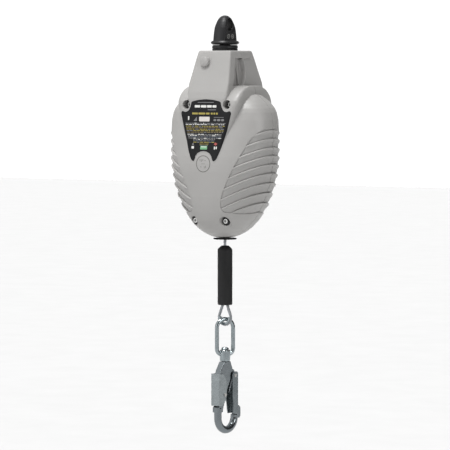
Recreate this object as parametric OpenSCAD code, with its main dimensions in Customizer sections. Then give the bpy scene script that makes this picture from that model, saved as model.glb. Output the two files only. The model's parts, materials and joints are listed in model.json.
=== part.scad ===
// Self retracting lifeline: swivel anchor eye, two-piece casing with drum,
// power spring and centrifugal brake, wire rope, grip sleeve, swivel snap hook.
// Origin: centre of the anchor eye's hole. +Z up, front (label) faces -Y.
// All sizes in millimetres.

/* [Anchor eye] */
// Radius of the anchor hole
eye_hole_r = 10; // [8:0.5:11]
// Thickness across the eye's two flats
eye_flat_t = 23.5; // [20:0.5:28]
// Radius of the eye's shank
shank_r = 8; // [7:0.5:8]

/* [Casing] */
// Wall thickness of the casing halves
wall = 4; // [3:0.5:5]
// Gap between the halves, filled by the seal
seal_t = 0.8; // [0.6:0.1:1.2]
// Radius of the screw counterbores
cbore_r = 7.75; // [6.5:0.25:8]

/* [Drum] */
// Outer radius of the drum flanges
flange_r = 79; // [76:1:79]
// Outer radius of the wound cable
coil_r = 72; // [60:1:74]
// Radius of the drum barrel
barrel_r = 50; // [45:1:52]
// Radius of the main shaft
shaft_r = 8; // [7:0.5:8]

/* [Line] */
// Radius of the wire rope
rope_r = 2.5; // [2:0.1:2.5]
// Outer radius of the grip sleeve
sleeve_r = 12.75; // [12.5:0.25:15]
// Length of the grip sleeve
sleeve_len = 102.3; // [101:0.1:103]

/* [Swivel hook] */
// Radius of the bail's bar
bail_bar = 3.6; // [3:0.1:3.6]
// Radius of the bail's centreline arc
bail_arc = 15.3; // [14.5:0.1:16]
// Yaw of the bail's plane about Z
bail_yaw = 59; // [50:1:70]
// Yaw of the hook's plane about Z
hook_yaw = 84; // [0:1:180]
// Radius of the hook's round bar
hook_bar = 6.5; // [6:0.1:6.5]

/* [Hidden] */

hole_n = 64;
e = 0.01;

// ---------- casing form ----------
// half width, half depth and corner exponent of the casing at height z
A_TAB = [[-365, 13], [-364.4, 17], [-362.5, 21], [-356, 34.5], [-349, 44.5], [-342, 52], [-335, 59.5],
  [-321, 71], [-308, 79], [-294, 85.5], [-273, 93.5], [-251, 98.5], [-238, 100.6], [-225, 101.4], [-205, 100],
  [-177, 94.7], [-163, 90], [-150, 82.5], [-143, 77.5], [-136, 72.5], [-129, 69], [-122, 65.5], [-115, 60.5],
  [-108, 50.5], [-101, 42.5], [-80, 39], [-60, 35.8], [-47, 33.8], [-44.5, 31]];
B_TAB = [[-365, 15], [-364.4, 19], [-362.5, 25], [-356, 39], [-349, 47], [-342, 52], [-335, 55.5], [-321, 59],
  [-308, 61.5], [-294, 63.5], [-273, 65.5], [-251, 67], [-238, 67.3], [-225, 66.6], [-205, 64], [-177, 61],
  [-163, 60], [-150, 59], [-143, 58.5], [-136, 58], [-129, 57.2], [-122, 56], [-115, 54.5], [-108, 52.8],
  [-101, 51], [-80, 43.8], [-60, 37.5], [-47, 33], [-44.5, 30.5]];
N_TAB = [[-365, 2.1], [-273, 2.1], [-238, 2.15], [-225, 2.2], [-205, 2.4], [-177, 2.75], [-150, 3.3],
  [-136, 4], [-122, 5.5], [-108, 10], [-101, 12], [-44.5, 12]];
ROWS = [-44.5, -47, -60, -80, -101, -108, -115, -122, -129, -143, -160, -180, -205, -225, -238, -256,
  -273, -294, -308, -321, -335, -345, -353, -359, -362.8, -364.6];
COLS = [0, 2, 7, 14, 23, 33, 42, 48, 57, 67, 78, 90, 102, 113, 123, 132, 138, 147, 157, 166, 173, 178, 180];
nr = len(ROWS);
nc = len(COLS);

function hw(z) = lookup(z, A_TAB);
function hd(z) = lookup(z, B_TAB);
function ex(z) = lookup(z, N_TAB);
function pw(v, n) = v <= 0 ? 0 : pow(v, n);
function sg(v) = v < 0 ? -1 : 1;
// faces with their points in the opposite order
function flip(f) = [for (q = f) [for (i = [len(q) - 1:-1:0]) q[i]]];
// inside height for an inset of k
function inz(z, k) = let(m = -204.5) m + (z - m) * (160.1 - k) / 160.1;
// one section point: angle t, inset k, gap g from the parting plane
function sec(z, t, k, g) = let(a = hw(z) - k, b = hd(z) - k, n = ex(z))
  [a * sg(cos(t)) * pw(abs(cos(t)), 2 / n), -g - (b - g) * pw(sin(t), 2 / n), inz(z, k)];
function skin(k, g) = [for (z = ROWS) for (t = COLS) sec(z, t, k, g)];
// depth of the front surface at x, z
function depth_at(x, z, k = 0) = let(a = hw(z) - k, b = hd(z) - k, n = ex(z))
  b * pow(max(0.0001, 1 - pow(min(0.999, abs(x) / a), n)), 1 / n);

// solid half, y < -g, inset k
module half_solid(k, g) {
  pts = skin(k, g);
  faces = concat(
    [for (i = [0:nr - 2]) for (j = [0:nc - 2]) [i * nc + j, i * nc + j + 1, (i + 1) * nc + j + 1]],
    [for (i = [0:nr - 2]) for (j = [0:nc - 2]) [i * nc + j, (i + 1) * nc + j + 1, (i + 1) * nc + j]],
    [[for (j = [nc - 1:-1:0]) j]],
    [[for (j = [0:nc - 1]) (nr - 1) * nc + j]],
    [for (i = [0:nr - 2]) [(i + 1) * nc, (i + 1) * nc + nc - 1, i * nc + nc - 1, i * nc]]);
  polyhedron(pts, flip(faces), convexity = 6);
}

// open half shell, y < -g
module half_shell(k, g) {
  q = nr * nc;
  pts = concat(skin(0, g), skin(k, g));
  faces = concat(
    [for (i = [0:nr - 2]) for (j = [0:nc - 2]) [i * nc + j, i * nc + j + 1, (i + 1) * nc + j + 1]],
    [for (i = [0:nr - 2]) for (j = [0:nc - 2]) [i * nc + j, (i + 1) * nc + j + 1, (i + 1) * nc + j]],
    [for (i = [0:nr - 2]) for (j = [0:nc - 2]) [q + (i + 1) * nc + j + 1, q + i * nc + j + 1, q + i * nc + j]],
    [for (i = [0:nr - 2]) for (j = [0:nc - 2]) [q + (i + 1) * nc + j, q + (i + 1) * nc + j + 1, q + i * nc + j]],
    [[for (j = [nc - 1:-1:0]) j]],
    [[for (j = [0:nc - 1]) (nr - 1) * nc + j]],
    [[for (j = [0:nc - 1]) q + j]],
    [[for (j = [nc - 1:-1:0]) q + (nr - 1) * nc + j]],
    [for (i = [0:nr - 2]) [q + i * nc, q + (i + 1) * nc, (i + 1) * nc, i * nc]],
    [for (i = [0:nr - 2]) [i * nc + nc - 1, (i + 1) * nc + nc - 1, q + (i + 1) * nc + nc - 1, q + i * nc + nc - 1]],
    [[0, nc - 1, q + nc - 1, q]],
    [[(nr - 1) * nc, q + (nr - 1) * nc, q + (nr - 1) * nc + nc - 1, (nr - 1) * nc + nc - 1]]);
  polyhedron(pts, flip(faces), convexity = 8);
}

// cylinder along Y from y0 to y1 at (x, z)
module ycyl(x, z, y0, y1, r, fn = 48) {
  translate([x, y0, z]) rotate([-90, 0, 0]) cylinder(r = r, h = y1 - y0, $fn = fn);
}

UP_X = 41.5;
UP_Z = -136.7;
LO_X = 31;
LO_Z = -334.9;
SP_X = 58;
SP_Z = -280;
BOSS_X = -13.4;
BOSS_Z = -63.6;
DZ = -215;

// ---------- anchor ----------
module anchor_eye() {
  color([0.09, 0.09, 0.1]) difference() {
    union() {
      intersection() {
        rotate_extrude($fn = 96) polygon([[0, -28.5], [22.4, -28.5], [22.4, -27.9], [22.2, -25.8], [21.6, -20.7],
          [20.9, -15.5], [20.0, -10.4], [18.7, -5.2], [16.6, 0], [14.2, 5.1], [10.9, 10.3], [7.4, 13.7], [3.8, 15.4], [0, 16]]);
        translate([-eye_flat_t / 2, -30, -30]) cube([eye_flat_t, 60, 60]);
      }
      rotate_extrude($fn = 96) polygon([[0, -70], [shank_r, -70], [shank_r, -36], [9.5, -34.4], [21, -34.4], [24.7, -31.9],
        [24.7, -30.9], [22.6, -28], [0, -28]]);
      translate([0, 0, -86]) cylinder(r = shank_r - 0.5, h = 20, $fn = hole_n);
    }
    rotate([0, 90, 0]) cylinder(r = eye_hole_r, h = 60, center = true, $fn = hole_n);
    for (s = [0, 180]) rotate([0, 0, s]) rotate([0, 90, 0])
      rotate_extrude($fn = hole_n) polygon([[9, 7.8], [10, 7.8], [10.3, 9.1], [11.1, 10.4], [12.4, 11.3], [14.2, 11.75], [14.2, 13], [9, 13]]);
    translate([0, 0, -80]) rotate([0, 90, 0]) cylinder(r = 2, h = 40, center = true, $fn = 32);
  }
}

module thrust_washer() {
  color([0.72, 0.6, 0.34]) translate([0, 0, -72]) difference() {
    cylinder(r = 14, h = 1.9, $fn = hole_n);
    translate([0, 0, -1]) cylinder(r = shank_r - 0.45, h = 5, $fn = hole_n);
  }
}

module shank_nut() {
  color([0.55, 0.56, 0.58]) difference() {
    translate([0, 0, -84]) cylinder(r = 13.8, h = 12, $fn = 6);
    translate([0, 0, -86]) cylinder(r = shank_r - 0.5, h = 16, $fn = hole_n);
    translate([0, 0, -80]) rotate([0, 90, 0]) cylinder(r = 2, h = 40, center = true, $fn = 32);
  }
}

module nut_pin() {
  color([0.65, 0.66, 0.68]) translate([0, 0, -80]) rotate([0, 90, 0]) difference() {
    cylinder(r = 2, h = 26, center = true, $fn = 32);
    cylinder(r = 1.2, h = 30, center = true, $fn = 24);
  }
}

// ---------- housing ----------
module top_collar() {
  color([0.08, 0.08, 0.09]) rotate_extrude($fn = 96) polygon([[8.4, -48.6], [11.9, -48.6], [11.9, -44.5], [21, -44.5],
    [22, -43.6], [22, -41.6], [21.2, -41], [22.2, -40.2], [22.2, -37.4], [20.8, -35], [9.9, -35], [8.4, -36.5]]);
}

module casing_bosses() {
  for (s = [-1, 1]) {
    ycyl(s * UP_X, UP_Z, -60, -36, 10.5);
    ycyl(s * UP_X, UP_Z, -37, -seal_t / 2, 8);
    ycyl(s * LO_X, LO_Z, -60, -seal_t / 2, 10.5);
    ycyl(s * SP_X, SP_Z, -60, -31, 6);
  }
}

module front_casing() {
  color([0.73, 0.72, 0.69]) difference() {
    union() {
      half_shell(wall, seal_t / 2);
      intersection() {
        casing_bosses();
        half_solid(1.2, seal_t / 2);
      }
      ycyl(BOSS_X, BOSS_Z, -45.3, -34, 8.7);
    }
    for (s = [-1, 1]) {
      ycyl(s * UP_X, UP_Z, -80, -42, cbore_r);
      ycyl(s * UP_X, UP_Z, -43, 1, 2.6, 32);
      ycyl(s * LO_X, LO_Z, -80, -40, cbore_r);
      ycyl(s * LO_X, LO_Z, -41, 1, 2.6, 32);
    }
    translate([0, 0, -60]) cylinder(r = 12, h = 30, $fn = hole_n);
    translate([0, 0, -370]) cylinder(r = 7.05, h = 20, $fn = hole_n);
  }
}

module rear_casing() {
  color([0.71, 0.7, 0.67]) difference() {
    union() {
      mirror([0, 1, 0]) half_shell(wall, seal_t / 2);
      mirror([0, 1, 0]) intersection() {
        casing_bosses();
        half_solid(1.2, seal_t / 2);
      }
    }
    for (s = [-1, 1]) {
      ycyl(s * UP_X, UP_Z, -1, 16.05, 4, 32);
      ycyl(s * LO_X, LO_Z, -1, 16.05, 4, 32);
    }
    translate([0, 0, -60]) cylinder(r = 12, h = 30, $fn = hole_n);
    translate([0, 0, -370]) cylinder(r = 7.05, h = 20, $fn = hole_n);
  }
}

// closed strip that fills the gap between the halves
module casing_seal() {
  function line(k) = concat([for (z = ROWS) [hw(z) - k, inz(z, k)]],
    [for (i = [nr - 1:-1:0]) [-(hw(ROWS[i]) - k), inz(ROWS[i], k)]]);
  color([0.2, 0.2, 0.2]) difference() {
    translate([0, seal_t / 2, 0]) rotate([90, 0, 0]) linear_extrude(seal_t) difference() {
      polygon(line(0.9));
      polygon(line(wall - 0.6));
    }
    translate([0, 0, -60]) cylinder(r = 12, h = 30, $fn = hole_n);
    translate([0, 0, -370]) cylinder(r = 7.05, h = 20, $fn = hole_n);
  }
}

// label: half width, top and bottom edge as functions of the column u = -1..1
LU = [-1, -0.92, -0.83, -0.74, -0.67, -0.62, -0.58, -0.45, -0.3, -0.15, 0, 0.15, 0.3, 0.45, 0.58, 0.62, 0.67, 0.74, 0.83, 0.92, 1];
function lab_w(z) = lookup(z, [[-240, 18], [-232, 23], [-215, 31], [-180, 42.5], [-150, 50], [-120, 50]]);
function lab_top(u) = abs(u) < 0.6 ? -127.5 - 13 * u * u : lookup(abs(u), [[0.6, -133], [0.62, -139], [0.67, -145.5], [0.74, -148.5], [0.83, -149], [0.92, -147.5], [1, -150]]);
function lab_bot(u) = lookup(abs(u), [[0, -216.5], [0.3, -218.5], [0.58, -224], [0.74, -230], [0.83, -232], [0.92, -232], [1, -229]]);
function lab_z(u, t) = lab_top(u) + (lab_bot(u) - lab_top(u)) * t;
LT = [0, 0.06, 0.13, 0.22, 0.35, 0.5, 0.65, 0.8, 0.9, 1];
function lab_pt(u, t, k) = let(z = lab_z(u, t), x = u * lab_w(z)) [x, -depth_at(x, z) - k, z];

module face_label() {
  nu = len(LU);
  nt = len(LT);
  q = nu * nt;
  pts = concat([for (t = LT) for (u = LU) lab_pt(u, t, 0.7)], [for (t = LT) for (u = LU) lab_pt(u, t, 0.3)]);
  faces = concat(
    [for (i = [0:nt - 2]) for (j = [0:nu - 2]) [i * nu + j, (i + 1) * nu + j, (i + 1) * nu + j + 1]],
    [for (i = [0:nt - 2]) for (j = [0:nu - 2]) [i * nu + j, (i + 1) * nu + j + 1, i * nu + j + 1]],
    [for (i = [0:nt - 2]) for (j = [0:nu - 2]) [q + (i + 1) * nu + j + 1, q + (i + 1) * nu + j, q + i * nu + j]],
    [for (i = [0:nt - 2]) for (j = [0:nu - 2]) [q + i * nu + j + 1, q + (i + 1) * nu + j + 1, q + i * nu + j]],
    [for (j = [0:nu - 2]) [j, j + 1, q + j + 1]], [for (j = [0:nu - 2]) [j, q + j + 1, q + j]],
    [for (j = [0:nu - 2]) let(b = (nt - 1) * nu) [b + j + 1, b + j, q + b + j]],
    [for (j = [0:nu - 2]) let(b = (nt - 1) * nu) [b + j + 1, q + b + j, q + b + j + 1]],
    [for (i = [0:nt - 2]) [i * nu, q + i * nu, q + (i + 1) * nu]], [for (i = [0:nt - 2]) [i * nu, q + (i + 1) * nu, (i + 1) * nu]],
    [for (i = [0:nt - 2]) let(c = nu - 1) [i * nu + c, (i + 1) * nu + c, q + (i + 1) * nu + c]],
    [for (i = [0:nt - 2]) let(c = nu - 1) [i * nu + c, q + (i + 1) * nu + c, q + i * nu + c]]);
  color([0.05, 0.05, 0.055]) polyhedron(pts, flip(faces), convexity = 4);
}

module socket_screw(x, z, y) {
  difference() {
    union() {
      ycyl(x, z, y - 5, y, 4.3, 40);
      ycyl(x, z, y - 0.5, 14, 2.5, 32);
    }
    ycyl(x, z, y - 6, y - 2.2, 2.3, 6);
  }
}

module casing_screws() {
  color([0.72, 0.73, 0.75]) for (s = [-1, 1]) {
    socket_screw(s * UP_X, UP_Z, -42);
    socket_screw(s * LO_X, LO_Z, -40);
  }
}

module casing_inserts() {
  color([0.75, 0.6, 0.3]) for (s = [-1, 1]) for (p = [[s * UP_X, UP_Z], [s * LO_X, LO_Z]]) difference() {
    ycyl(p[0], p[1], 1, 16, 4, 32);
    ycyl(p[0], p[1], 0, 15, 2.52, 32);
  }
}

module swivel_block() {
  color([0.5, 0.51, 0.53]) difference() {
    translate([-24, -16, -70]) cube([48, 32, 18]);
    translate([0, 0, -80]) cylinder(r = shank_r + 0.06, h = 40, $fn = hole_n);
    for (s = [-1, 1]) ycyl(s * 17, -63, -20, 20, 3, 32);
  }
}

module plate_outline(r) {
  difference() {
    union() {
      circle(r = r, $fn = 96);
      translate([-24, 100]) square([48, 57.5]);
      polygon([[-24, 110], [24, 110], [44, 30], [-44, 30]]);
      polygon([[-30, 0], [-67, -60], [-64, -72], [-54, -74], [-20, -60], [20, -60], [54, -74], [64, -72], [67, -60], [30, 0]]);
    }
    for (s = [-1, 1]) {
      translate([s * 17, 152]) circle(r = 3, $fn = 32);
      translate([s * SP_X, SP_Z - DZ]) circle(r = 3, $fn = 32);
    }
  }
}

module front_frame() {
  color([0.6, 0.61, 0.63]) difference() {
    union() {
      translate([0, -28, DZ]) rotate([90, 0, 0]) linear_extrude(3) difference() {
        plate_outline(80);
        circle(r = shaft_r, $fn = 64);
        for (k = [0:3]) rotate([0, 0, 45 + 90 * k]) translate([76.5, 0]) circle(r = 2, $fn = 32);
      }
      for (s = [-1, 1]) difference() {
        ycyl(s * 17, -63, -28.2, -16, 5.5, 40);
        ycyl(s * 17, -63, -29, -15, 3, 32);
      }
    }
  }
}

module rear_frame() {
  color([0.6, 0.61, 0.63]) difference() {
    union() {
      translate([0, 19, DZ]) rotate([90, 0, 0]) linear_extrude(3) difference() {
        plate_outline(72);
        circle(r = 16, $fn = 64);
      }
    }
  }
}

module frame_spacers() {
  color([0.62, 0.63, 0.65]) for (s = [-1, 1]) {
    difference() {
      ycyl(s * SP_X, SP_Z, -28, 16, 5, 40);
      ycyl(s * SP_X, SP_Z, -29, 17, 3, 32);
    }
    ycyl(s * SP_X, SP_Z, -30.9, 30.9, 2.95, 32);
    ycyl(s * SP_X, SP_Z, 19, 24, 5.2, 6);
  }
}

module block_bolts() {
  color([0.66, 0.67, 0.69]) for (s = [-1, 1]) {
    ycyl(s * 17, -63, -31, 21, 2.95, 32);
    ycyl(s * 17, -63, 19, 24, 5.2, 6);
  }
}

module main_shaft() {
  color([0.68, 0.69, 0.71]) ycyl(0, DZ, -38.5, 48, shaft_r, 64);
}

module shaft_nuts() {
  color([0.55, 0.56, 0.58]) for (y = [-39, 41.2]) difference() {
    ycyl(0, DZ, y, y + (y < 0 ? 8 : 7), 13.5, 6);
    ycyl(0, DZ, y - 1, y + 10, shaft_r, 64);
  }
}

module shaft_spacer() {
  color([0.62, 0.63, 0.65]) difference() {
    ycyl(0, DZ, -28, -14.3, 11, 48);
    ycyl(0, DZ, -29, -13, shaft_r, 64);
  }
}

module spring_cup() {
  color([0.5, 0.51, 0.52]) translate([0, 0, DZ]) rotate([-90, 0, 0]) rotate_extrude($fn = 96)
    polygon([[shaft_r, 41.2], [shaft_r, 39.2], [60.5, 39.2], [60.5, 19], [66, 19], [66, 20.5], [62.5, 20.5], [62.5, 41.2]]);
}

// spiral strip, 0.8 mm thick, from the arbor out to the cup
module power_spring() {
  turns = 11;
  n = turns * 20;
  function rr(i) = i < n - 20 ? 13.2 + 34 * i / (n - 20) : 47.2 + 12.4 * pow((i - n + 20) / 20, 1.5);
  out = [for (i = [0:n]) [(rr(i) + 0.8) * cos(i * 18), (rr(i) + 0.8) * sin(i * 18)]];
  inn = [for (i = [n:-1:0]) [rr(i) * cos(i * 18), rr(i) * sin(i * 18)]];
  color([0.3, 0.33, 0.4]) translate([0, 37.5, DZ]) rotate([90, 0, 0]) linear_extrude(17) polygon(concat(out, inn));
}

module outlet_guide() {
  color([0.12, 0.12, 0.13]) rotate_extrude($fn = 64) polygon([[3.2, -365], [7, -365], [7, -360.3], [11, -360.3],
    [11, -352], [7.5, -352], [4.2, -354.5], [3.2, -358]]);
}

module outlet_bumper() {
  color([0.07, 0.07, 0.08]) rotate_extrude($fn = 96) polygon([[3.2, -368.4], [18, -368.6], [19.6, -367.8], [19.9, -366.2],
    [18.8, -365.2], [14, -365.4], [7, -365], [3.2, -365]]);
}

module cable_lead() {
  color([0.45, 0.47, 0.5]) translate([0, 0, -350.5]) rotate([0, 33.7, 0]) cylinder(r = rope_r, h = 111, $fn = 32);
}

module lining() {
  rotate([-90, 0, 0]) difference() {
    cylinder(r = 72, h = 2, $fn = 96);
    translate([0, 0, -1]) cylinder(r = 55, h = 4, $fn = 96);
  }
}

module front_lining() {
  color([0.35, 0.27, 0.2]) translate([0, -28, DZ]) lining();
}

module rear_lining() {
  color([0.35, 0.27, 0.2]) translate([0, -22, DZ]) lining();
}

module pressure_plate() {
  color([0.6, 0.61, 0.63]) translate([0, -20, DZ]) rotate([-90, 0, 0]) difference() {
    cylinder(r = 80, h = 3, $fn = 96);
    translate([0, 0, -1]) cylinder(r = 55, h = 5, $fn = 96);
    for (k = [0:3]) rotate([0, 0, 45 + 90 * k]) translate([76.5, 0, -1]) cylinder(r = 2, h = 5, $fn = 32);
  }
}

module brake_screws() {
  color([0.66, 0.67, 0.69]) for (k = [0:3]) translate([0, 0, DZ]) rotate([0, 45 + 90 * k, 0]) {
    translate([76.5, -33, 0]) rotate([-90, 0, 0]) cylinder(r = 1.95, h = 18, $fn = 32);
    translate([76.5, -34, 0]) rotate([-90, 0, 0]) cylinder(r = 3.4, h = 3, $fn = 32);
    translate([76.5, -17, 0]) rotate([-90, 0, 0]) cylinder(r = 3.4, h = 2.6, $fn = 6);
  }
}

// ---------- drum ----------
module cable_drum() {
  color([0.78, 0.79, 0.8]) difference() {
    translate([0, 0, DZ]) rotate([-90, 0, 0]) rotate_extrude($fn = 96)
      polygon([[11, -14], [15, -14], [15, -11], [flange_r, -11], [flange_r, -9], [barrel_r, -9], [barrel_r, 9],
        [flange_r, 9], [flange_r, 11], [barrel_r - 3, 11], [barrel_r - 3, -8], [15, -8], [15, 13], [11, 13]]);
    for (s = [-1, 1]) ycyl(0, DZ + s * 28, -20, 0, 2.5, 32);
  }
}

module drum_bushes() {
  color([0.72, 0.55, 0.3]) for (y = [-14, 1]) difference() {
    ycyl(0, DZ, y, y + 12, 11, 64);
    ycyl(0, DZ, y - 1, y + 14, shaft_r + 0.05, 64);
  }
}

module wound_cable() {
  color([0.45, 0.47, 0.5]) translate([0, 0, DZ]) rotate([-90, 0, 0]) difference() {
    translate([0, 0, -8.9]) cylinder(r = coil_r, h = 17.8, $fn = 96);
    translate([0, 0, -10]) cylinder(r = barrel_r, h = 20, $fn = 96);
  }
}

module spring_arbor() {
  color([0.5, 0.51, 0.53]) difference() {
    ycyl(0, DZ, 13, 38.8, 12.8, 64);
    ycyl(0, DZ, 12, 40, shaft_r + 0.3, 64);
    translate([9, 19.5, DZ - 1]) cube([6, 18.5, 2]);
  }
}

module pawl_pins() {
  color([0.7, 0.71, 0.73]) for (s = [-1, 1]) {
    ycyl(0, DZ + s * 28, -25, -8, 2.5, 32);
    ycyl(0, DZ + s * 28, -26.2, -25, 4, 32);
  }
}

module pawl_springs() {
  color([0.75, 0.76, 0.78]) for (s = [0, 180]) translate([0, 0, DZ]) rotate([0, s, 0]) {
    translate([0, -12.9, 28]) rotate([-90, 0, 0]) difference() {
      cylinder(r = 5, h = 1.7, $fn = 32);
      translate([0, 0, -1]) cylinder(r = 3.4, h = 4, $fn = 32);
    }
    translate([-14, -12.8, 23.2]) cube([14, 1.4, 1.2]);
  }
}

// pawl in its own frame: pivot at the origin, nose towards +x
module pawl() {
  translate([0, -13.2, 0]) rotate([90, 0, 0]) linear_extrude(11.3) difference() {
    union() {
      circle(r = 6.5, $fn = 48);
      polygon([[-9, -6], [-2, -6.3], [6, -7], [14, -5.5], [22, -1.5], [26, 2], [26, 5], [21, 6.5], [12, 6], [2, 6.3], [-4, 5], [-12, 2], [-13, -3]]);
    }
    circle(r = 2.56, $fn = 48);
  }
}

module pawl_a() {
  color([0.4, 0.41, 0.44]) translate([0, 0, DZ + 28]) pawl();
}

module pawl_b() {
  color([0.4, 0.41, 0.44]) translate([0, 0, DZ - 28]) rotate([0, 180, 0]) pawl();
}

module brake_disc() {
  color([0.55, 0.5, 0.42]) translate([0, -16, DZ]) rotate([90, 0, 0]) difference() {
    union() {
      translate([0, 0, 6.1]) cylinder(r = 73.5, h = 3.8, $fn = 96);
      cylinder(r = 54.5, h = 9.9, $fn = 96);
    }
    translate([0, 0, -1]) cylinder(r = 45.2, h = 14, $fn = 96);
    for (k = [0:11]) rotate([0, 0, 62 + 30 * k]) translate([40, 0, -1]) linear_extrude(14)
      polygon([[0, -7], [11, -7], [11, 5], [9, 8], [0, 9]]);
  }
}

// ---------- line ----------
module paid_out_cable() {
  color([0.5, 0.52, 0.55]) translate([0, 0, -379.3]) cylinder(r = rope_r, h = 27.3, $fn = 32);
}

// route of the rope's eye, round the thimble and back up to the dead end
ROUTE = [[0, -379.3], [0, -388], [0, -396], [-0.6, -402], [-1.7, -408], [-2.6, -414], [-2.6, -428], [-2.6, -442], [-2.6, -456], [-2.9, -466],
  [-3.9, -475], [-5.4, -483], [-7.8, -490], [-10.1, -496], [-11.6, -500.5], [-12, -504.5], [-11.1, -508.6], [-8.6, -512.2], [-4.7, -514.7],
  [0, -515.6], [4.7, -514.7], [8.6, -512.2], [11.1, -508.6], [12, -504.5], [11.6, -500.5], [10.1, -496], [7.8, -490], [5.4, -483],
  [3.9, -475], [2.9, -466], [2.6, -456], [2.6, -442], [2.6, -428], [2.6, -416]];

module rope_loop() {
  n = len(ROUTE);
  s = 8;
  function tan_at(i) = let(a = ROUTE[max(0, i - 1)], b = ROUTE[min(n - 1, i + 1)], d = b - a) d / norm(d);
  pts = [for (i = [0:n - 1]) for (k = [0:s - 1]) let(t = tan_at(i), nrm = [-t[1], t[0]], a = 22.5 + 45 * k, r = rope_r)
    [ROUTE[i][0] + nrm[0] * r * cos(a), r * sin(a), ROUTE[i][1] + nrm[1] * r * cos(a)]];
  faces = concat([[for (k = [0:s - 1]) k]], [[for (k = [s - 1:-1:0]) (n - 1) * s + k]],
    [for (i = [0:n - 2]) for (k = [0:s - 1]) [i * s + k, (i + 1) * s + k, (i + 1) * s + (k + 1) % s]],
    [for (i = [0:n - 2]) for (k = [0:s - 1]) [i * s + k, (i + 1) * s + (k + 1) % s, i * s + (k + 1) % s]]);
  color([0.5, 0.52, 0.55]) polyhedron(pts, flip(faces), convexity = 6);
}

module ferrule() {
  color([0.8, 0.81, 0.82]) translate([0, 0, -456]) difference() {
    linear_extrude(41) union() {
      for (s = [-1, 1]) translate([s * 2.6, 0]) circle(r = 4.7, $fn = 48);
      translate([-2.6, -4.7]) square([5.2, 9.4]);
    }
    for (s = [-1, 1]) translate([s * 2.6, 0, -1]) cylinder(r = rope_r + 0.06, h = 50, $fn = 32);
    translate([-0.9, -1.4, -1]) cube([1.8, 2.8, 50]);
  }
}

module thimble() {
  color([0.68, 0.7, 0.72]) translate([0, 0, -503.6]) rotate([90, 0, 0]) rotate([0, 0, 170])
    rotate_extrude(angle = 200, $fn = 96) polygon([[8.4, -3.4], [12, -3.4], [12, -2.7], [9.4, -2.7], [9.4, 2.7], [12, 2.7], [12, 3.4], [8.4, 3.4]]);
}

module grip_sleeve() {
  z0 = -379.3 - sleeve_len;
  color([0.06, 0.06, 0.065]) rotate_extrude($fn = 96) polygon([[2.6, -379.3], [6.5, -379.3], [sleeve_r - 0.8, -384.4],
    [sleeve_r, -386.3], [sleeve_r, z0 + 2], [sleeve_r - 2, z0], [9.2, z0], [8.7, z0 + 2], [8.7, -412], [2.6, -398]]);
}

// ---------- bail ----------
BZ = -506 - 15.3;
module swivel_bail() {
  color([0.68, 0.72, 0.75]) rotate([0, 0, bail_yaw]) difference() {
    union() {
      translate([0, 0, BZ]) rotate([90, 0, 0]) rotate_extrude(angle = 180, $fn = 64) translate([bail_arc, 0]) circle(r = bail_bar, $fn = 40);
      for (s = [-1, 1]) translate([s * bail_arc, 0, -557.2]) cylinder(r = bail_bar, h = -BZ * -1 + 557.2, $fn = 40);
      translate([bail_arc - 10, 0, -557.2]) rotate([90, 0, 0]) rotate([0, 0, -90]) rotate_extrude(angle = 90, $fn = 64) translate([10, 0]) circle(r = bail_bar, $fn = 40);
      translate([10 - bail_arc, 0, -557.2]) rotate([90, 0, 0]) rotate([0, 0, 180]) rotate_extrude(angle = 90, $fn = 64) translate([10, 0]) circle(r = bail_bar, $fn = 40);
      rotate_extrude($fn = 64) polygon([[0, -578.6], [8.2, -578.6], [9, -577.8], [9, -560.5], [8, -559], [0, -559]]);
    }
    translate([0, 0, -580]) cylinder(r = 5.05, h = 30, $fn = hole_n);
  }
}

// ---------- hook, drawn with its width along x ----------
GP = [17, -604];
LP = [-10, -636];
NW = 24.7;
HC = 2.8;
HR = 21.9;
HZ = -675.9;

module tcyl(p, t0, t1, r, fn = 40) {
  translate([p[0], t0, p[1]]) rotate([-90, 0, 0]) cylinder(r = r, h = t1 - t0, $fn = fn);
}

module hook_body() {
  color([0.62, 0.66, 0.69]) rotate([0, 0, hook_yaw]) difference() {
    union() {
      translate([0, 6, 0]) rotate([90, 0, 0]) linear_extrude(12) polygon([[-8, -579.2], [8, -579.2], [13, -592], [12.6, -600], [11, -607], [8, -611.5], [4, -618],
        [-3, -632], [-7, -648], [-11.8, -661], [-12.2, -666], [-26.2, -666], [-26.2, -658], [-20, -652], [-17.5, -646], [-17.5, -608], [-20, -600], [-18, -594]]);
      translate([0, 4.4, 0]) rotate([90, 0, 0]) linear_extrude(8.8) polygon([[8, -590], [19, -594.6], [22, -600], [22, -607], [18.5, -610.5], [8, -612]]);
      translate([HC, 0, HZ]) rotate([90, 0, 0]) rotate([0, 0, 180]) rotate_extrude(angle = 180, $fn = 96) translate([HR, 0]) circle(r = hook_bar, $fn = 48);
      translate([-19.1, 0, HZ]) cylinder(r = hook_bar, h = 17, $fn = 48);
      translate([NW, 0, HZ]) cylinder(r = hook_bar, h = 6, $fn = 48);
      translate([0, 6, 0]) rotate([90, 0, 0]) linear_extrude(12) polygon([[25.6, -676], [31.5, -679.5], [34.6, -676], [35, -672], [35, -663.5], [33.8, -659.5], [31, -657.2], [27, -657.2], [25.6, -660]]);
    }
    tcyl(GP, -20, 20, 2, 40);
    tcyl(LP, -20, 20, 2, 40);
    translate([0, 0, -596]) cylinder(r = 5, h = 30, $fn = hole_n);
    translate([4, -10, -673]) cube([21.2, 20, 16]);
    for (s = [-1, 1]) translate([LP[0], s * 6.6 - 1.1, LP[1]]) rotate([-90, 0, 0]) cylinder(r = 5, h = 2.2, $fn = 40);
  }
}

module swivel_rivet() {
  color([0.7, 0.73, 0.76]) {
    translate([0, 0, -596]) cylinder(r = 5, h = 38, $fn = hole_n);
    rotate_extrude($fn = 48) polygon([[0, -558.7], [6.6, -558.7], [6.4, -556.6], [5, -555], [2.6, -554.2], [0, -554]]);
  }
}

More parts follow.
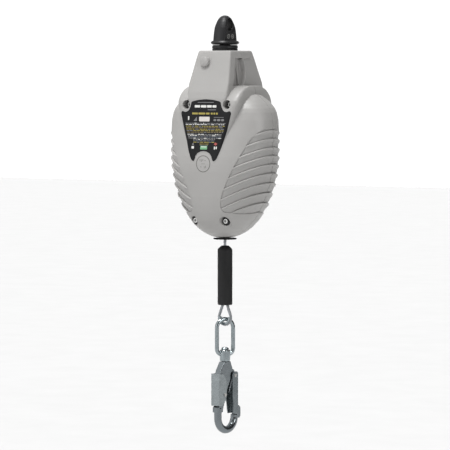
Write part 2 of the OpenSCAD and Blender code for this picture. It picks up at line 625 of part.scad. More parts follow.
module headed_pin(p) {
  tcyl(p, -9.2, 9.2, 2, 40);
  for (s = [-1, 1]) translate([p[0], s * 9.6, p[1]]) rotate([-90, 0, 0]) cylinder(r = 3.1, h = 1, center = true, $fn = 40);
}

module gate_pin() {
  color([0.75, 0.77, 0.79]) rotate([0, 0, hook_yaw]) headed_pin(GP);
}

module lock_pin() {
  color([0.75, 0.77, 0.79]) rotate([0, 0, hook_yaw]) headed_pin(LP);
}

module spring_coil(p, y0, h) {
  difference() {
    tcyl(p, y0, y0 + h, 3.6, 32);
    tcyl(p, y0 - 1, y0 + h + 1, 2.3, 32);
  }
}

module gate_spring() {
  color([0.8, 0.82, 0.84]) rotate([0, 0, hook_yaw]) {
    for (y = [-7, 4.7]) spring_coil(GP, y, 2.3);
    translate([GP[0] - 3, -5.9, GP[1]]) rotate([0, 200, 0]) cylinder(r = 0.6, h = 30, $fn = 16);
  }
}

module lock_spring() {
  color([0.8, 0.82, 0.84]) rotate([0, 0, hook_yaw]) {
    for (y = [-7.2, 5.7]) spring_coil(LP, y, 1.5);
    translate([LP[0] - 3, -6.62, LP[1]]) rotate([0, -12, 0]) cylinder(r = 0.5, h = 22, $fn = 16);
  }
}

module gate() {
  color([0.6, 0.64, 0.67]) rotate([0, 0, hook_yaw]) difference() {
    union() {
      for (y = [9, -7.4]) translate([0, y, 0]) rotate([90, 0, 0]) linear_extrude(1.6)
        polygon([[24.8, -600], [24.8, -668], [23, -671], [16.5, -671], [14, -655], [11, -636], [10, -604], [12.5, -598], [20, -597.4]]);
      translate([23.2, -8, -671]) cube([1.6, 16, 70]);
    }
    tcyl(GP, -20, 20, 2.06, 40);
    for (s = [-1, 1]) translate([20, s * 11 - 2.6, -680]) rotate([s * -3, 0, 0]) translate([-12, 0, 0]) cube([20, 5.2, 60]);
  }
}

module lock_lever() {
  color([0.66, 0.7, 0.73]) rotate([0, 0, hook_yaw]) difference() {
    union() {
      for (y = [9, -7.4]) translate([0, y, 0]) rotate([90, 0, 0]) linear_extrude(1.6)
        polygon([[-26.3, -599], [-26.3, -654.3], [-18, -654.3], [-8, -646], [-5.5, -636], [-5, -612], [-12, -602], [-15, -599]]);
      translate([-26.3, -8, -654.3]) cube([1.6, 16, 55.3]);
    }
    tcyl(LP, -20, 20, 2.06, 40);
  }
}

anchor_eye();
thrust_washer();
shank_nut();
nut_pin();
top_collar();
front_casing();
rear_casing();
casing_seal();
face_label();
casing_screws();
casing_inserts();
swivel_block();
front_frame();
rear_frame();
frame_spacers();
block_bolts();
main_shaft();
shaft_nuts();
shaft_spacer();
spring_cup();
power_spring();
outlet_guide();
outlet_bumper();
cable_lead();
front_lining();
rear_lining();
pressure_plate();
brake_screws();
cable_drum();
drum_bushes();
wound_cable();
spring_arbor();
pawl_pins();
pawl_springs();
pawl_a();
pawl_b();
brake_disc();
paid_out_cable();
rope_loop();
ferrule();
thimble();
grip_sleeve();
swivel_bail();
hook_body();
swivel_rivet();
gate_pin();
gate_spring();
lock_pin();
lock_spring();
gate();
lock_lever();
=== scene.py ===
import bpy, bmesh, json, math, random
import numpy as np
from mathutils import Vector, Matrix


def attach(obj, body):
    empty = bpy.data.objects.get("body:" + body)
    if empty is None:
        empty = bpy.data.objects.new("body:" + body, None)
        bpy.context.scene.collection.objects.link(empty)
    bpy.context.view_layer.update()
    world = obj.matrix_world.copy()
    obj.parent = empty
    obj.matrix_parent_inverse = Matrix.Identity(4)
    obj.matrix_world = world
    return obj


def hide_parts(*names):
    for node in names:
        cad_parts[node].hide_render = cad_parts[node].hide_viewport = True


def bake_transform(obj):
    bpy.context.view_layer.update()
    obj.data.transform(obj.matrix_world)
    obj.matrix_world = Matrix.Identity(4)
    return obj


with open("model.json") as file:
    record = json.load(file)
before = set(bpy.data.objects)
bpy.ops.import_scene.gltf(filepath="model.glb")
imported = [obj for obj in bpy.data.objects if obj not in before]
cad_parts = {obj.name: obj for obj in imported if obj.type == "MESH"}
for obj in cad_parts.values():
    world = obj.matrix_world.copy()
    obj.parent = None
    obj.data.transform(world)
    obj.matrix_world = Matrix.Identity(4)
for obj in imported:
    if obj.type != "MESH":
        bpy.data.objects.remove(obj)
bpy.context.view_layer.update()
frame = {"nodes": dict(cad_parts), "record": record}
NODES = frame["nodes"]
random.seed(7)
MM = 0.001

# ------------------------------------------------------------------ helpers
BODY_OF = {}
for _b, _ns in frame["record"]["behaviour"]["bodies"].items():
    for _n in _ns:
        BODY_OF[_n] = _b


def new_obj(name, verts, faces, mat, smooth=True, angle=None):
    me = bpy.data.meshes.new(name)
    me.from_pydata([tuple(v) for v in verts], [], [tuple(f) for f in faces])
    me.validate()
    ob = bpy.data.objects.new(name, me)
    bpy.context.scene.collection.objects.link(ob)
    bm = bmesh.new()
    bm.from_mesh(me)
    bmesh.ops.remove_doubles(bm, verts=bm.verts, dist=1e-7)
    bmesh.ops.recalc_face_normals(bm, faces=bm.faces)
    bm.to_mesh(me)
    bm.free()
    if smooth:
        me.polygons.foreach_set("use_smooth", [True] * len(me.polygons))
        if angle is not None:
            me.set_sharp_from_angle(angle=math.radians(angle))
    if mat is not None:
        me.materials.append(mat)
    return ob


def grid_faces(nr, nc, off=0, wrap_c=False, wrap_r=False):
    out = []
    for i in range(nr if wrap_r else nr - 1):
        i2 = (i + 1) % nr
        for j in range(nc if wrap_c else nc - 1):
            j2 = (j + 1) % nc
            out.append((off + i * nc + j, off + i * nc + j2, off + i2 * nc + j2, off + i2 * nc + j))
    return out


def lathe(name, prof, mat, n=96, axis="Z", centre=(0, 0, 0), closed=True, angle=35):
    """prof: list of (r, h) in mm, turned round an axis; closed joins the last point to the first."""
    verts, nr = [], len(prof)
    for r, h in prof:
        for k in range(n):
            a = 2 * math.pi * k / n
            if axis == "Z":
                p = (r * math.cos(a), r * math.sin(a), h)
            elif axis == "Y":
                p = (r * math.cos(a), h, r * math.sin(a))
            else:
                p = (h, r * math.cos(a), r * math.sin(a))
            verts.append(((p[0] + centre[0]) * MM, (p[1] + centre[1]) * MM, (p[2] + centre[2]) * MM))
    faces = grid_faces(nr, n, wrap_c=True, wrap_r=closed)
    if not closed:
        faces.append(tuple(range(n)))
        faces.append(tuple(reversed(range((nr - 1) * n, nr * n))))
    return new_obj(name, verts, faces, mat, angle=angle)


def place(ob, body, *nodes, slot=None):
    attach(ob, body)
    if nodes:
        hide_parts(*nodes)
    return ob


def soft_copy(node, mat, voxel=0.4, smooth=6, body=None, name=None):
    """A cast or pressed version of a CAD piece: its own mesh, remeshed so that every edge is rounded."""
    src = NODES[node]
    me = src.data.copy()
    ob = bpy.data.objects.new(name or node + "_formed", me)
    bpy.context.scene.collection.objects.link(ob)
    me.materials.clear()
    m = ob.modifiers.new("r", "REMESH")
    m.mode = "VOXEL"
    m.voxel_size = voxel * MM
    m.use_smooth_shade = True
    s = ob.modifiers.new("s", "SMOOTH")
    s.factor = 0.5
    s.iterations = smooth
    dg = bpy.context.evaluated_depsgraph_get()
    me2 = bpy.data.meshes.new_from_object(ob.evaluated_get(dg))
    ob.modifiers.clear()
    old = ob.data
    ob.data = me2
    bpy.data.meshes.remove(old)
    me2.materials.clear()
    me2.materials.append(mat)
    me2.polygons.foreach_set("use_smooth", [True] * len(me2.polygons))
    place(ob, body or BODY_OF[node], node)
    return ob


# ------------------------------------------------------------------ materials
def mat_new(name):
    m = bpy.data.materials.new(name)
    m.use_nodes = True
    nt = m.node_tree
    nt.nodes.clear()
    out = nt.nodes.new("ShaderNodeOutputMaterial")
    b = nt.nodes.new("ShaderNodeBsdfPrincipled")
    nt.links.new(b.outputs[0], out.inputs[0])
    return m, nt, b


def noise(nt, scale, detail=4, rough=0.55, coord=None, stretch=None):
    tc = nt.nodes.new("ShaderNodeTexCoord")
    n = nt.nodes.new("ShaderNodeTexNoise")
    n.inputs["Scale"].default_value = scale
    n.inputs["Detail"].default_value = detail
    n.inputs["Roughness"].default_value = rough
    if stretch:
        mp = nt.nodes.new("ShaderNodeMapping")
        mp.inputs["Scale"].default_value = stretch
        nt.links.new(tc.outputs["Object"], mp.inputs[0])
        nt.links.new(mp.outputs[0], n.inputs["Vector"])
    else:
        nt.links.new(tc.outputs["Object"], n.inputs["Vector"])
    return n


def ramp(nt, src, stops):
    r = nt.nodes.new("ShaderNodeValToRGB")
    e = r.color_ramp.elements
    e[0].position, e[0].color = stops[0][0], stops[0][1]
    e[1].position, e[1].color = stops[-1][0], stops[-1][1]
    for p, c in stops[1:-1]:
        x = e.new(p)
        x.color = c
    nt.links.new(src, r.inputs[0])
    return r


def grey(v, w=1.0):
    return (v, v, v, 1)


def rgb(c, k=1.0):
    return (c[0] * k, c[1] * k, c[2] * k, 1)


def maprange(nt, src, a, b, c, d):
    m = nt.nodes.new("ShaderNodeMapRange")
    m.inputs[1].default_value, m.inputs[2].default_value = a, b
    m.inputs[3].default_value, m.inputs[4].default_value = c, d
    nt.links.new(src, m.inputs[0])
    return m


def bump(nt, b, src, strength, dist, prev=None):
    n = nt.nodes.new("ShaderNodeBump")
    n.inputs["Strength"].default_value = strength
    n.inputs["Distance"].default_value = dist
    nt.links.new(src, n.inputs["Height"])
    if prev is not None:
        nt.links.new(prev.outputs[0], n.inputs["Normal"])
    nt.links.new(n.outputs[0], b.inputs["Normal"])
    return n


def polymer(name, col, var=0.05, rough=0.42, grain=2600, gstr=0.12, edge_wear_crease_shade=0.15, spec=0.5, coat=0.0):
    m, nt, b = mat_new(name)
    big = noise(nt, 14, 5)
    r = ramp(nt, big.outputs[0], [(0.3, rgb(col, 1 - var)), (0.7, rgb(col, 1 + var * 0.6))])
    geo = nt.nodes.new("ShaderNodeNewGeometry")
    # convex edges lightened as wear; concave creases darkened towards 35 % of the colour as painted shade, both
    # scaled by the same argument
    edge = maprange(nt, geo.outputs["Pointiness"], 0.5, 0.62, 0.0, edge_wear_crease_shade)
    dark = maprange(nt, geo.outputs["Pointiness"], 0.38, 0.49, edge_wear_crease_shade * 1.6, 0.0)
    mx = nt.nodes.new("ShaderNodeMixRGB")
    mx.inputs[2].default_value = rgb([min(1, c * 1.35 + 0.03) for c in col])
    nt.links.new(edge.outputs[0], mx.inputs[0])
    nt.links.new(r.outputs[0], mx.inputs[1])
    crease_shade_mix = nt.nodes.new("ShaderNodeMixRGB")
    crease_shade_mix.inputs[2].default_value = rgb(col, 0.35)
    nt.links.new(dark.outputs[0], crease_shade_mix.inputs[0])
    nt.links.new(mx.outputs[0], crease_shade_mix.inputs[1])
    nt.links.new(crease_shade_mix.outputs[0], b.inputs["Base Color"])
    mid = noise(nt, 120, 3)
    rr = maprange(nt, mid.outputs[0], 0.3, 0.7, rough - 0.05, rough + 0.07)
    nt.links.new(rr.outputs[0], b.inputs["Roughness"])
    b.inputs["Specular IOR Level"].default_value = spec
    if coat:
        b.inputs["Coat Weight"].default_value = coat
        b.inputs["Coat Roughness"].default_value = 0.2
    g = noise(nt, grain, 2)
    b1 = bump(nt, b, g.outputs[0], gstr, 0.0002)
    w = noise(nt, 30, 2)
    bump(nt, b, w.outputs[0], 0.05, 0.001, b1)
    return m


def metal(name, col, rough=0.35, var=0.08, brushed=None, spots=0.0, bstr=0.1, metallic=1.0, scale=60, fine=1500):
    m, nt, b = mat_new(name)
    b.inputs["Metallic"].default_value = metallic
    big = noise(nt, scale, 6, 0.6)
    r = ramp(nt, big.outputs[0], [(0.3, rgb(col, 1 - var)), (0.52, rgb(col, 1.0)), (0.75, rgb(col, 1 + var))])
    last = r
    if spots:
        sp = noise(nt, 240, 3, 0.7)
        k = maprange(nt, sp.outputs[0], 0.6, 0.72, 0.0, spots)
        mx = nt.nodes.new("ShaderNodeMixRGB")
        mx.inputs[2].default_value = rgb(col, 0.45)
        nt.links.new(k.outputs[0], mx.inputs[0])
        nt.links.new(r.outputs[0], mx.inputs[1])
        last = mx
    nt.links.new(last.outputs[0], b.inputs["Base Color"])
    mid = noise(nt, scale * 5, 4)
    rr = maprange(nt, mid.outputs[0], 0.3, 0.7, rough - 0.08, rough + 0.1)
    nt.links.new(rr.outputs[0], b.inputs["Roughness"])
    g = noise(nt, fine, 3, 0.6, stretch=brushed)
    bump(nt, b, g.outputs[0], bstr, 0.0001)
    return m


def flat_print(name, col, rough=0.45):
    m, nt, b = mat_new(name)
    n = noise(nt, 900, 3)
    r = ramp(nt, n.outputs[0], [(0.3, rgb(col, 0.88)), (0.7, rgb(col, 1.05))])
    nt.links.new(r.outputs[0], b.inputs["Base Color"])
    rr = maprange(nt, n.outputs[0], 0.3, 0.7, rough - 0.05, rough + 0.1)
    nt.links.new(rr.outputs[0], b.inputs["Roughness"])
    g = noise(nt, 2500, 2)
    bump(nt, b, g.outputs[0], 0.06, 0.0001)
    return m


M_CASE = polymer("casing_polymer", (0.308, 0.302, 0.294), 0.035, 0.42, 2600, 0.10, 0.22, 0.45)
M_CASE2 = polymer("casing_polymer_rear", (0.303, 0.297, 0.289), 0.035, 0.43, 2600, 0.10, 0.22, 0.45)
M_BLACKP = polymer("black_polymer", (0.014, 0.014, 0.015), 0.15, 0.42, 2400, 0.12, 0.08, 0.25)
M_EYE = polymer("black_coated_steel", (0.011, 0.011, 0.012), 0.2, 0.38, 1500, 0.14, 0.08, 0.30)
M_RUBBER = polymer("black_rubber", (0.013, 0.013, 0.0135), 0.2, 0.6, 1800, 0.22, 0.06, 0.22)
M_SEAL = polymer("seal_rubber", (0.05, 0.05, 0.05), 0.2, 0.65, 1800, 0.2, 0.05, 0.3)
M_LABEL = polymer("label_film", (0.006, 0.006, 0.007), 0.2, 0.36, 3200, 0.05, 0.0, 0.16)
M_STAMP = metal("stamped_mark", (0.30, 0.30, 0.29), 0.45, 0.15, None, 0.2, 0.15)
M_ZINC = metal("zinc_steel", (0.30, 0.338, 0.352), 0.20, 0.10, None, 0.10, 0.05, scale=90)
# darker copy of the zinc steel for the hook body: painted shade
M_ZINC_SHADED = metal("zinc_steel_painted_shade", (0.195, 0.215, 0.226), 0.20, 0.10, None, 0.10, 0.05, scale=90)
# darker copy of the zinc plate for the gate: painted shade
M_ZINC_PLATE_SHADED = metal("zinc_plate_painted_shade", (0.19, 0.212, 0.222), 0.24, 0.12, (1, 1, 0.12), 0.12, 0.07, scale=80)
M_ZINC2 = metal("zinc_plate", (0.29, 0.318, 0.328), 0.24, 0.12, (1, 1, 0.12), 0.12, 0.07, scale=80)
M_ROPE = metal("wire_rope", (0.33, 0.345, 0.36), 0.36, 0.2, None, 0.3, 0.2, scale=400, fine=3500)
M_SCREW = metal("bright_steel", (0.50, 0.50, 0.49), 0.38, 0.1, None, 0.15, 0.1, scale=200)
M_STEEL = metal("plain_steel", (0.42, 0.43, 0.44), 0.42, 0.12, (1, 1, 8), 0.15, 0.15)
M_SPRING = metal("spring_steel", (0.30, 0.315, 0.34), 0.35, 0.15, None, 0.1, 0.12)
M_DARK = metal("dark_steel", (0.16, 0.16, 0.17), 0.5, 0.15, None, 0.2, 0.2)
M_BRONZE = metal("bronze", (0.62, 0.44, 0.22), 0.38, 0.12, None, 0.2, 0.12)
M_ALU = metal("drum_aluminium", (0.62, 0.63, 0.64), 0.4, 0.06, (8, 1, 8), 0.1, 0.12)
M_LINING = polymer("friction_lining", (0.16, 0.11, 0.075), 0.25, 0.8, 900, 0.4, 0.1, 0.2)

SLOT_MAT = {"black_steel": M_EYE, "bronze": M_BRONZE, "plain_steel": M_STEEL, "bright_steel": M_SCREW,
            "spring_steel": M_SPRING, "dark_steel": M_DARK, "black_polymer": M_BLACKP, "casing_polymer": M_CASE,
            "seal_rubber": M_SEAL, "label_film": M_LABEL, "black_rubber": M_RUBBER, "wire_rope": M_ROPE,
            "friction_lining": M_LINING, "drum_aluminium": M_ALU, "zinc_steel": M_ZINC}
for s in frame["record"]["subparts"]:
    ob = NODES[s["node"]]
    mat = SLOT_MAT[s["material_slot"]]
    if len(ob.data.materials) == 0:
        ob.data.materials.append(mat)
    else:
        for i in range(len(ob.material_slots)):
            ob.material_slots[i].material = mat

# ------------------------------------------------------------------ casing form (mm)
def tab(pairs):
    p = sorted(pairs)
    x = np.array([a for a, _ in p], float)
    y = np.array([b for _, b in p], float)
    return lambda z: np.interp(z, x, y)


# plate: neck and the proud front face
P_A = tab([(-44.5, 33.2), (-60, 35.8), (-80, 38.4), (-101, 41.3), (-118, 41.0), (-126, 40), (-140, 34), (-160, 20), (-366, 5)])
P_B = tab([(-44.5, 31.8), (-60, 37.3), (-80, 43.8), (-101, 51), (-115, 55.4), (-126, 57.4), (-140, 57.4), (-150, 56), (-366, 4)])
# shoulders and shield
S_A = tab([(-100, 58), (-104.4, 60.5), (-112, 62.5), (-122, 63.6), (-134, 63), (-146, 59.5), (-163, 54), (-182, 47), (-205, 39), (-366, 4)])
S_B = tab([(-104.0, 1.0), (-104.5, 12), (-105.6, 22), (-107.5, 30), (-110, 36), (-113.5, 41.5), (-118, 46.5), (-124, 51.5), (-130, 55.5),
           (-137, 57.3), (-150, 58.2), (-163, 58.8), (-182, 60.4), (-205, 62.4), (-230, 60), (-366, 4)])
# cheeks and lower body
B_A = tab([(-118, 40), (-118.9, 60), (-119.6, 65), (-120.6, 68.6), (-122, 71.2), (-129, 79), (-136, 86), (-143, 91.5), (-150, 95.0), (-163, 98.4), (-177, 99.6),
           (-190, 100.0), (-205, 100.0), (-225, 100.0), (-238, 99.4), (-251, 97.8), (-273, 93.3), (-294, 85.3), (-308, 78.6), (-321, 70.6), (-335, 59.2),
           (-342, 51.8), (-349, 44.2), (-356, 34.2), (-361, 24.5), (-363.4, 18), (-364.4, 13.5)])
B_B = tab([(-118, 2), (-118.9, 12), (-119.6, 20), (-120.6, 24.5), (-122, 28), (-129, 38), (-136, 44), (-143, 48.3), (-150, 51.2), (-163, 54.8), (-177, 58.2), (-190, 61.2), (-205, 63.8),
           (-225, 66.4), (-238, 67.0), (-251, 66.8), (-273, 65.3), (-294, 63.3), (-308, 61.3), (-321, 58.8), (-335, 55.2), (-342, 51.6), (-349, 46.8),
           (-356, 38.6), (-361, 29.5), (-363.4, 22), (-364.4, 15.5)])
B_N = tab([(-117, 2.6), (-129, 3.0), (-150, 2.7), (-177, 2.4), (-205, 2.25), (-238, 2.15), (-273, 2.1), (-366, 2.1)])


def smax(a, b, k):
    h = np.clip(0.5 + 0.5 * (a - b) / k, 0, 1)
    return b + (a - b) * h + k * h * (1 - h)


def rad(phi, a, b, n):
    return (np.abs(np.cos(phi) / a) ** n + np.abs(np.sin(phi) / b) ** n) ** (-1.0 / n)


def S(x):
    x = np.clip(x, 0, 1)
    return x * x * (3 - 2 * x)


FZ, FX = [-106, -80, -57], [30.0, 28.6, 27.0]
N_R = tab([(-44, 2.2), (-60, 3.0), (-101, 5.6), (-116, 4.5), (-130, 0), (-366, 0)])


def radius(phi, z, rear=0.0):
    rp = rad(phi, P_A(z), P_B(z) + rear * N_R(z), 26.0)
    rs = rad(phi, S_A(z), S_B(z), 13.0)
    rb = rad(phi, B_A(z), B_B(z), B_N(z))
    rb = np.where(z > -117.9, 1.0, rb)
    rs = np.where(z > -103.8, 1.0, rs)
    r = smax(rp, rs, 0.7)
    return smax(r, rb, 0.6)


def front_y(x, z):
    """Depth of the front surface (positive number) at x, z."""
    x = np.abs(x)

    def lay(a, b, n):
        q = np.clip(1 - (np.minimum(x / a, 1.0)) ** n, 0, 1)
        return b * q ** (1 / n)
    p = lay(P_A(z), P_B(z), 26.0)
    s = np.where(z > -103.8, 0, lay(S_A(z), S_B(z), 13.0))
    b = np.where(z > -117.9, 0, lay(B_A(z), B_B(z), B_N(z)))
    return smax(smax(p, s, 0.7), b, 0.6)


# rib field
T_B = tab([(-176, 0), (-177.2, 13), (-178.5, 20), (-180.8, 26.5), (-185.6, 33.0), (-192, 38.2), (-201, 42.6), (-210, 45.6), (-220, 49.2), (-241, 56.4),
           (-263, 62.4), (-280, 66.2), (-292, 68.4), (-300, 69), (-308, 69), (-314, 67.5), (-318.5, 64), (-321.5, 57), (-323.2, 46), (-323.6, 36)])
DROP = tab([(0, 0), (10, 0.5), (20, 2.2), (30, 5.2), (37.5, 8.6), (45, 12.4), (52, 16.8), (57, 20.3), (63, 24.3), (67, 27), (75, 31), (90, 35)])
LIPS = [-179, -193.2, -208.2, -222.3, -236.8, -252.3, -268.6, -285.6, -303.0, -321, -339]


def rib_disp(t, z):
    """Displacement (mm, outward) of the ribbed field at section angle t (degrees from the side) and height z."""
    t = np.abs(t)
    zz = z + DROP(t)
    tb = T_B(z)
    inside_t = (tb - t) * 1.45
    zbot = -320.3 - 3.0 * np.sin(np.radians(np.clip(t, 0, 60) * 3.0)) * 0.9
    inside_z = z - zbot
    ztop = -177.3 - z
    d = np.minimum(np.minimum(inside_t, inside_z), np.where(t < 12, ztop, 99))
    m = S((d + 0.2) / 1.5)
    # position inside each band, 0 at its lip
    prof = np.zeros_like(z)
    for i in range(len(LIPS) - 1):
        top, bot = LIPS[i], LIPS[i + 1]
        s = (top - zz) / (top - bot)
        ok = (s >= 0) & (s < 1)
        L = top - bot
        mm = s * L
        rise = S(mm / 1.1)
        fall = np.clip((mm - 1.1) / (L - 1.1 - 1.3), 0, 1)
        body = -1.0 + 0.35 * np.cos(fall * math.pi) + 1.75 * np.exp(-((mm - 2.0) / 1.9) ** 2) - 0.5 * fall
        groove = S((L - mm) / 1.3)
        b0 = -0.65 + 1.75 * math.exp(-(0.9 / 1.9) ** 2)
        v = np.where(mm < 1.1, -2.6 + (b0 + 2.6) * rise, np.where(mm > L - 1.3, -2.6 + (body + 2.6) * groove, body))
        prof = np.where(ok, v, prof)
    prof = np.where(zz > LIPS[0], -1.4, prof)
    lift = np.interp(t, [0, 40, 70], [1.0, 1.0, 0.9])
    edge = S(d / 6.0)
    return m * (-0.15 + prof * lift * (0.75 + 0.25 * edge)) - 1.3 * m * (1 - S(d / 2.6))


def casing_half(name, side, mat):
    """One casing half. side -1 is the front half, +1 the rear half."""
    ncol = 341
    phi = np.linspace(0, math.pi, ncol)
    # more rows where the neck and the shoulder turn their corners, and over the rib field
    z_main = np.concatenate([np.arange(-47.2, -56, -0.9), np.arange(-56, -60, -0.5), np.arange(-60, -99, -1.1), np.arange(-99, -117, -0.6), np.arange(-117, -122, -0.3),
                             np.arange(-122, -176, -0.95), np.arange(-176, -325, -0.62), np.arange(-325, -356, -0.95), np.arange(-356, -364.3, -0.6)])
    rows = []      # (z, inset, kind)
    for z, ins in [(-44.6, 5.0), (-44.55, 3.4), (-44.75, 2.0), (-45.3, 1.0), (-46.1, 0.35)]:
        rows.append((z, ins))
    for z in z_main:
        rows.append((z, 0.0))
    rows.append((-364.5, 1.2))
    zs = np.array([r[0] for r in rows])
    ins = np.array([r[1] for r in rows])
    PH, Z = np.meshgrid(phi, zs)
    INS = np.repeat(ins[:, None], ncol, 1)
    zq = np.minimum(Z, -44.6)
    R = radius(PH, zq, 1.0 if side > 0 else 0.0) - INS
    X = R * np.cos(PH)
    Y = R * np.sin(PH)
    # ribs: push along the section's outward direction
    a, b = B_A(Z), B_B(Z)
    T = np.degrees(np.arctan2(np.abs(Y) / b, np.abs(X) / a))
    D = np.where((Z < -170) & (Z > -330), rib_disp(T, Z), 0.0)
    nx, ny = X / a ** 2, Y / b ** 2
    ln = np.sqrt(nx ** 2 + ny ** 2) + 1e-9
    X = X + D * nx / ln
    Y = Y + D * ny / ln
    # neck side recess: a deep pocket on the front half, a rounded belly on the rear half
    pb = P_B(Z) + (N_R(Z) if side > 0 else 0)
    ay = np.abs(Y)
    XF = np.abs(X)
    if side < 0:
        floor_x = np.interp(Z, FZ, FX)
        msk = S((-57.4 - Z) / 1.3) * S((Z + 105.2) / 1.5) * S((pb - 15.5 - ay) / 1.3)
    else:
        bel = np.interp(Z, [-107, -103, -97, -90, -80, -72, -66, -62, -59.5, -57.5], [35.0, 36.0, 37.0, 37.1, 36.5, 35.9, 35.3, 34.8, 34.2, 33.0])
        bel = bel + np.maximum(P_A(Z) - bel, 0) * 0.72 * S(ay / pb) ** 1.3
        bw = 1.0 + 5.0 * np.sin(np.clip((-58 - Z) / 46, 0, 1) * math.pi)
        flo = np.interp(Z, FZ, FX)
        floor_x = flo + (bel - flo) * S((ay - bw) / 3.2) ** 0.7
        ztop = -57.2 - 11.0 * np.clip((ay - 22) / (pb - 22), 0, 1) ** 2
        msk = S((ztop - Z) / 1.1) * S((Z + 105.4) / 1.5)
    msk = np.where((XF > 18) & (Z > -107), msk, 0)
    pocket = np.clip(XF - floor_x, 0, 30) * msk
    X = X - np.sign(X) * pocket
    inpk = msk > 0.3
    # fine groove along the edge at the parting plane
    Yf = Y
    # keep off the parting plane
    g = 0.4
    Y = g + Y * (1 - g / 60.0)
    edge = np.exp(-((Y - g) / 0.55) ** 2) * np.where(inpk, 0, 1)
    X = X - np.sign(X) * 0.35 * edge * (np.abs(X) > 13)
    outer = np.stack([X, side * Y, Z], -1)
    # hole rims
    def ring(r, z):
        rr = np.stack([r * np.cos(phi), side * (g + r * np.sin(phi) * (1 - g / r)), np.full(ncol, z)], -1)
        return rr[None]
    outer = np.concatenate([ring(12.0, -44.6), ring(24.0, -44.6), outer, ring(9.0, -364.6), ring(7.05, -364.6)])
    # inner skin: smooth form, 3.8 mm inside
    zin = -204.5 + (zs + 204.5) * (160.1 - 3.9) / 160.1
    PHI, ZI = np.meshgrid(phi, zs)
    RI = radius(PHI, np.minimum(ZI, -44.6), 1.0 if side > 0 else 0.0) - 3.9 - INS * 0.3
    dI = np.where((Z < -170) & (Z > -330), np.minimum(D, 0) * 0.8, 0)
    RI = np.maximum(RI + dI, 7.5)
    XI = RI * np.cos(PHI)
    YI = RI * np.sin(PHI)
    wall_x = np.where(side > 0, np.where(ay < 2.6, 18.0, floor_x - 3.4), floor_x - 3.4)
    grow = (msk > 0.02) | ((side < 0) & (ay < pb - 12.5) & (Z < -54.5) & (Z > -107) & (XF > 18))
    XI = np.where(grow & (np.abs(XI) > wall_x), np.sign(XI) * wall_x, XI)
    YI = g + YI * (1 - g / 60.0)
    ZI = np.repeat(zin[:, None], ncol, 1)
    inner = np.stack([XI, side * YI, ZI], -1)
    inner = np.concatenate([ring(12.0, -48.4), ring(24.0, -48.4), inner, ring(9.0, -360.7), ring(7.05, -360.7)])
    nr = outer.shape[0]
    verts = np.concatenate([outer.reshape(-1, 3), inner.reshape(-1, 3)]) * MM
    nv = nr * ncol
    faces = grid_faces(nr, ncol) + [tuple(reversed(f)) for f in grid_faces(nr, ncol, nv)]
    for i in range(nr - 1):
        faces.append((i * ncol, (i + 1) * ncol, nv + (i + 1) * ncol, nv + i * ncol))
        c = ncol - 1
        faces.append((i * ncol + c, nv + i * ncol + c, nv + (i + 1) * ncol + c, (i + 1) * ncol + c))
    for j in range(ncol - 1):
        faces.append((j, nv + j, nv + j + 1, j + 1))
        k = (nr - 1) * ncol
        faces.append((k + j, k + j + 1, nv + k + j + 1, nv + k + j))
    me = bpy.data.meshes.new(name)
    me.from_pydata(verts.tolist(), [], faces)
    ob = bpy.data.objects.new(name, me)
    bpy.context.scene.collection.objects.link(ob)
    bm = bmesh.new()
    bm.from_mesh(me)
    bm.verts.ensure_lookup_table()
    if side < 0:
        holes = [(s * 41.5, -136.7, -42.0) for s in (-1, 1)] + [(s * 31.0, -334.9, -40.0) for s in (-1, 1)]
        sink(bm, holes, nv, side)
    bmesh.ops.recalc_face_normals(bm, faces=bm.faces)
    bm.to_mesh(me)
    bm.free()
    me.polygons.foreach_set("use_smooth", [True] * len(me.polygons))
    me.set_sharp_from_angle(angle=math.radians(52))
    me.materials.append(mat)
    return ob


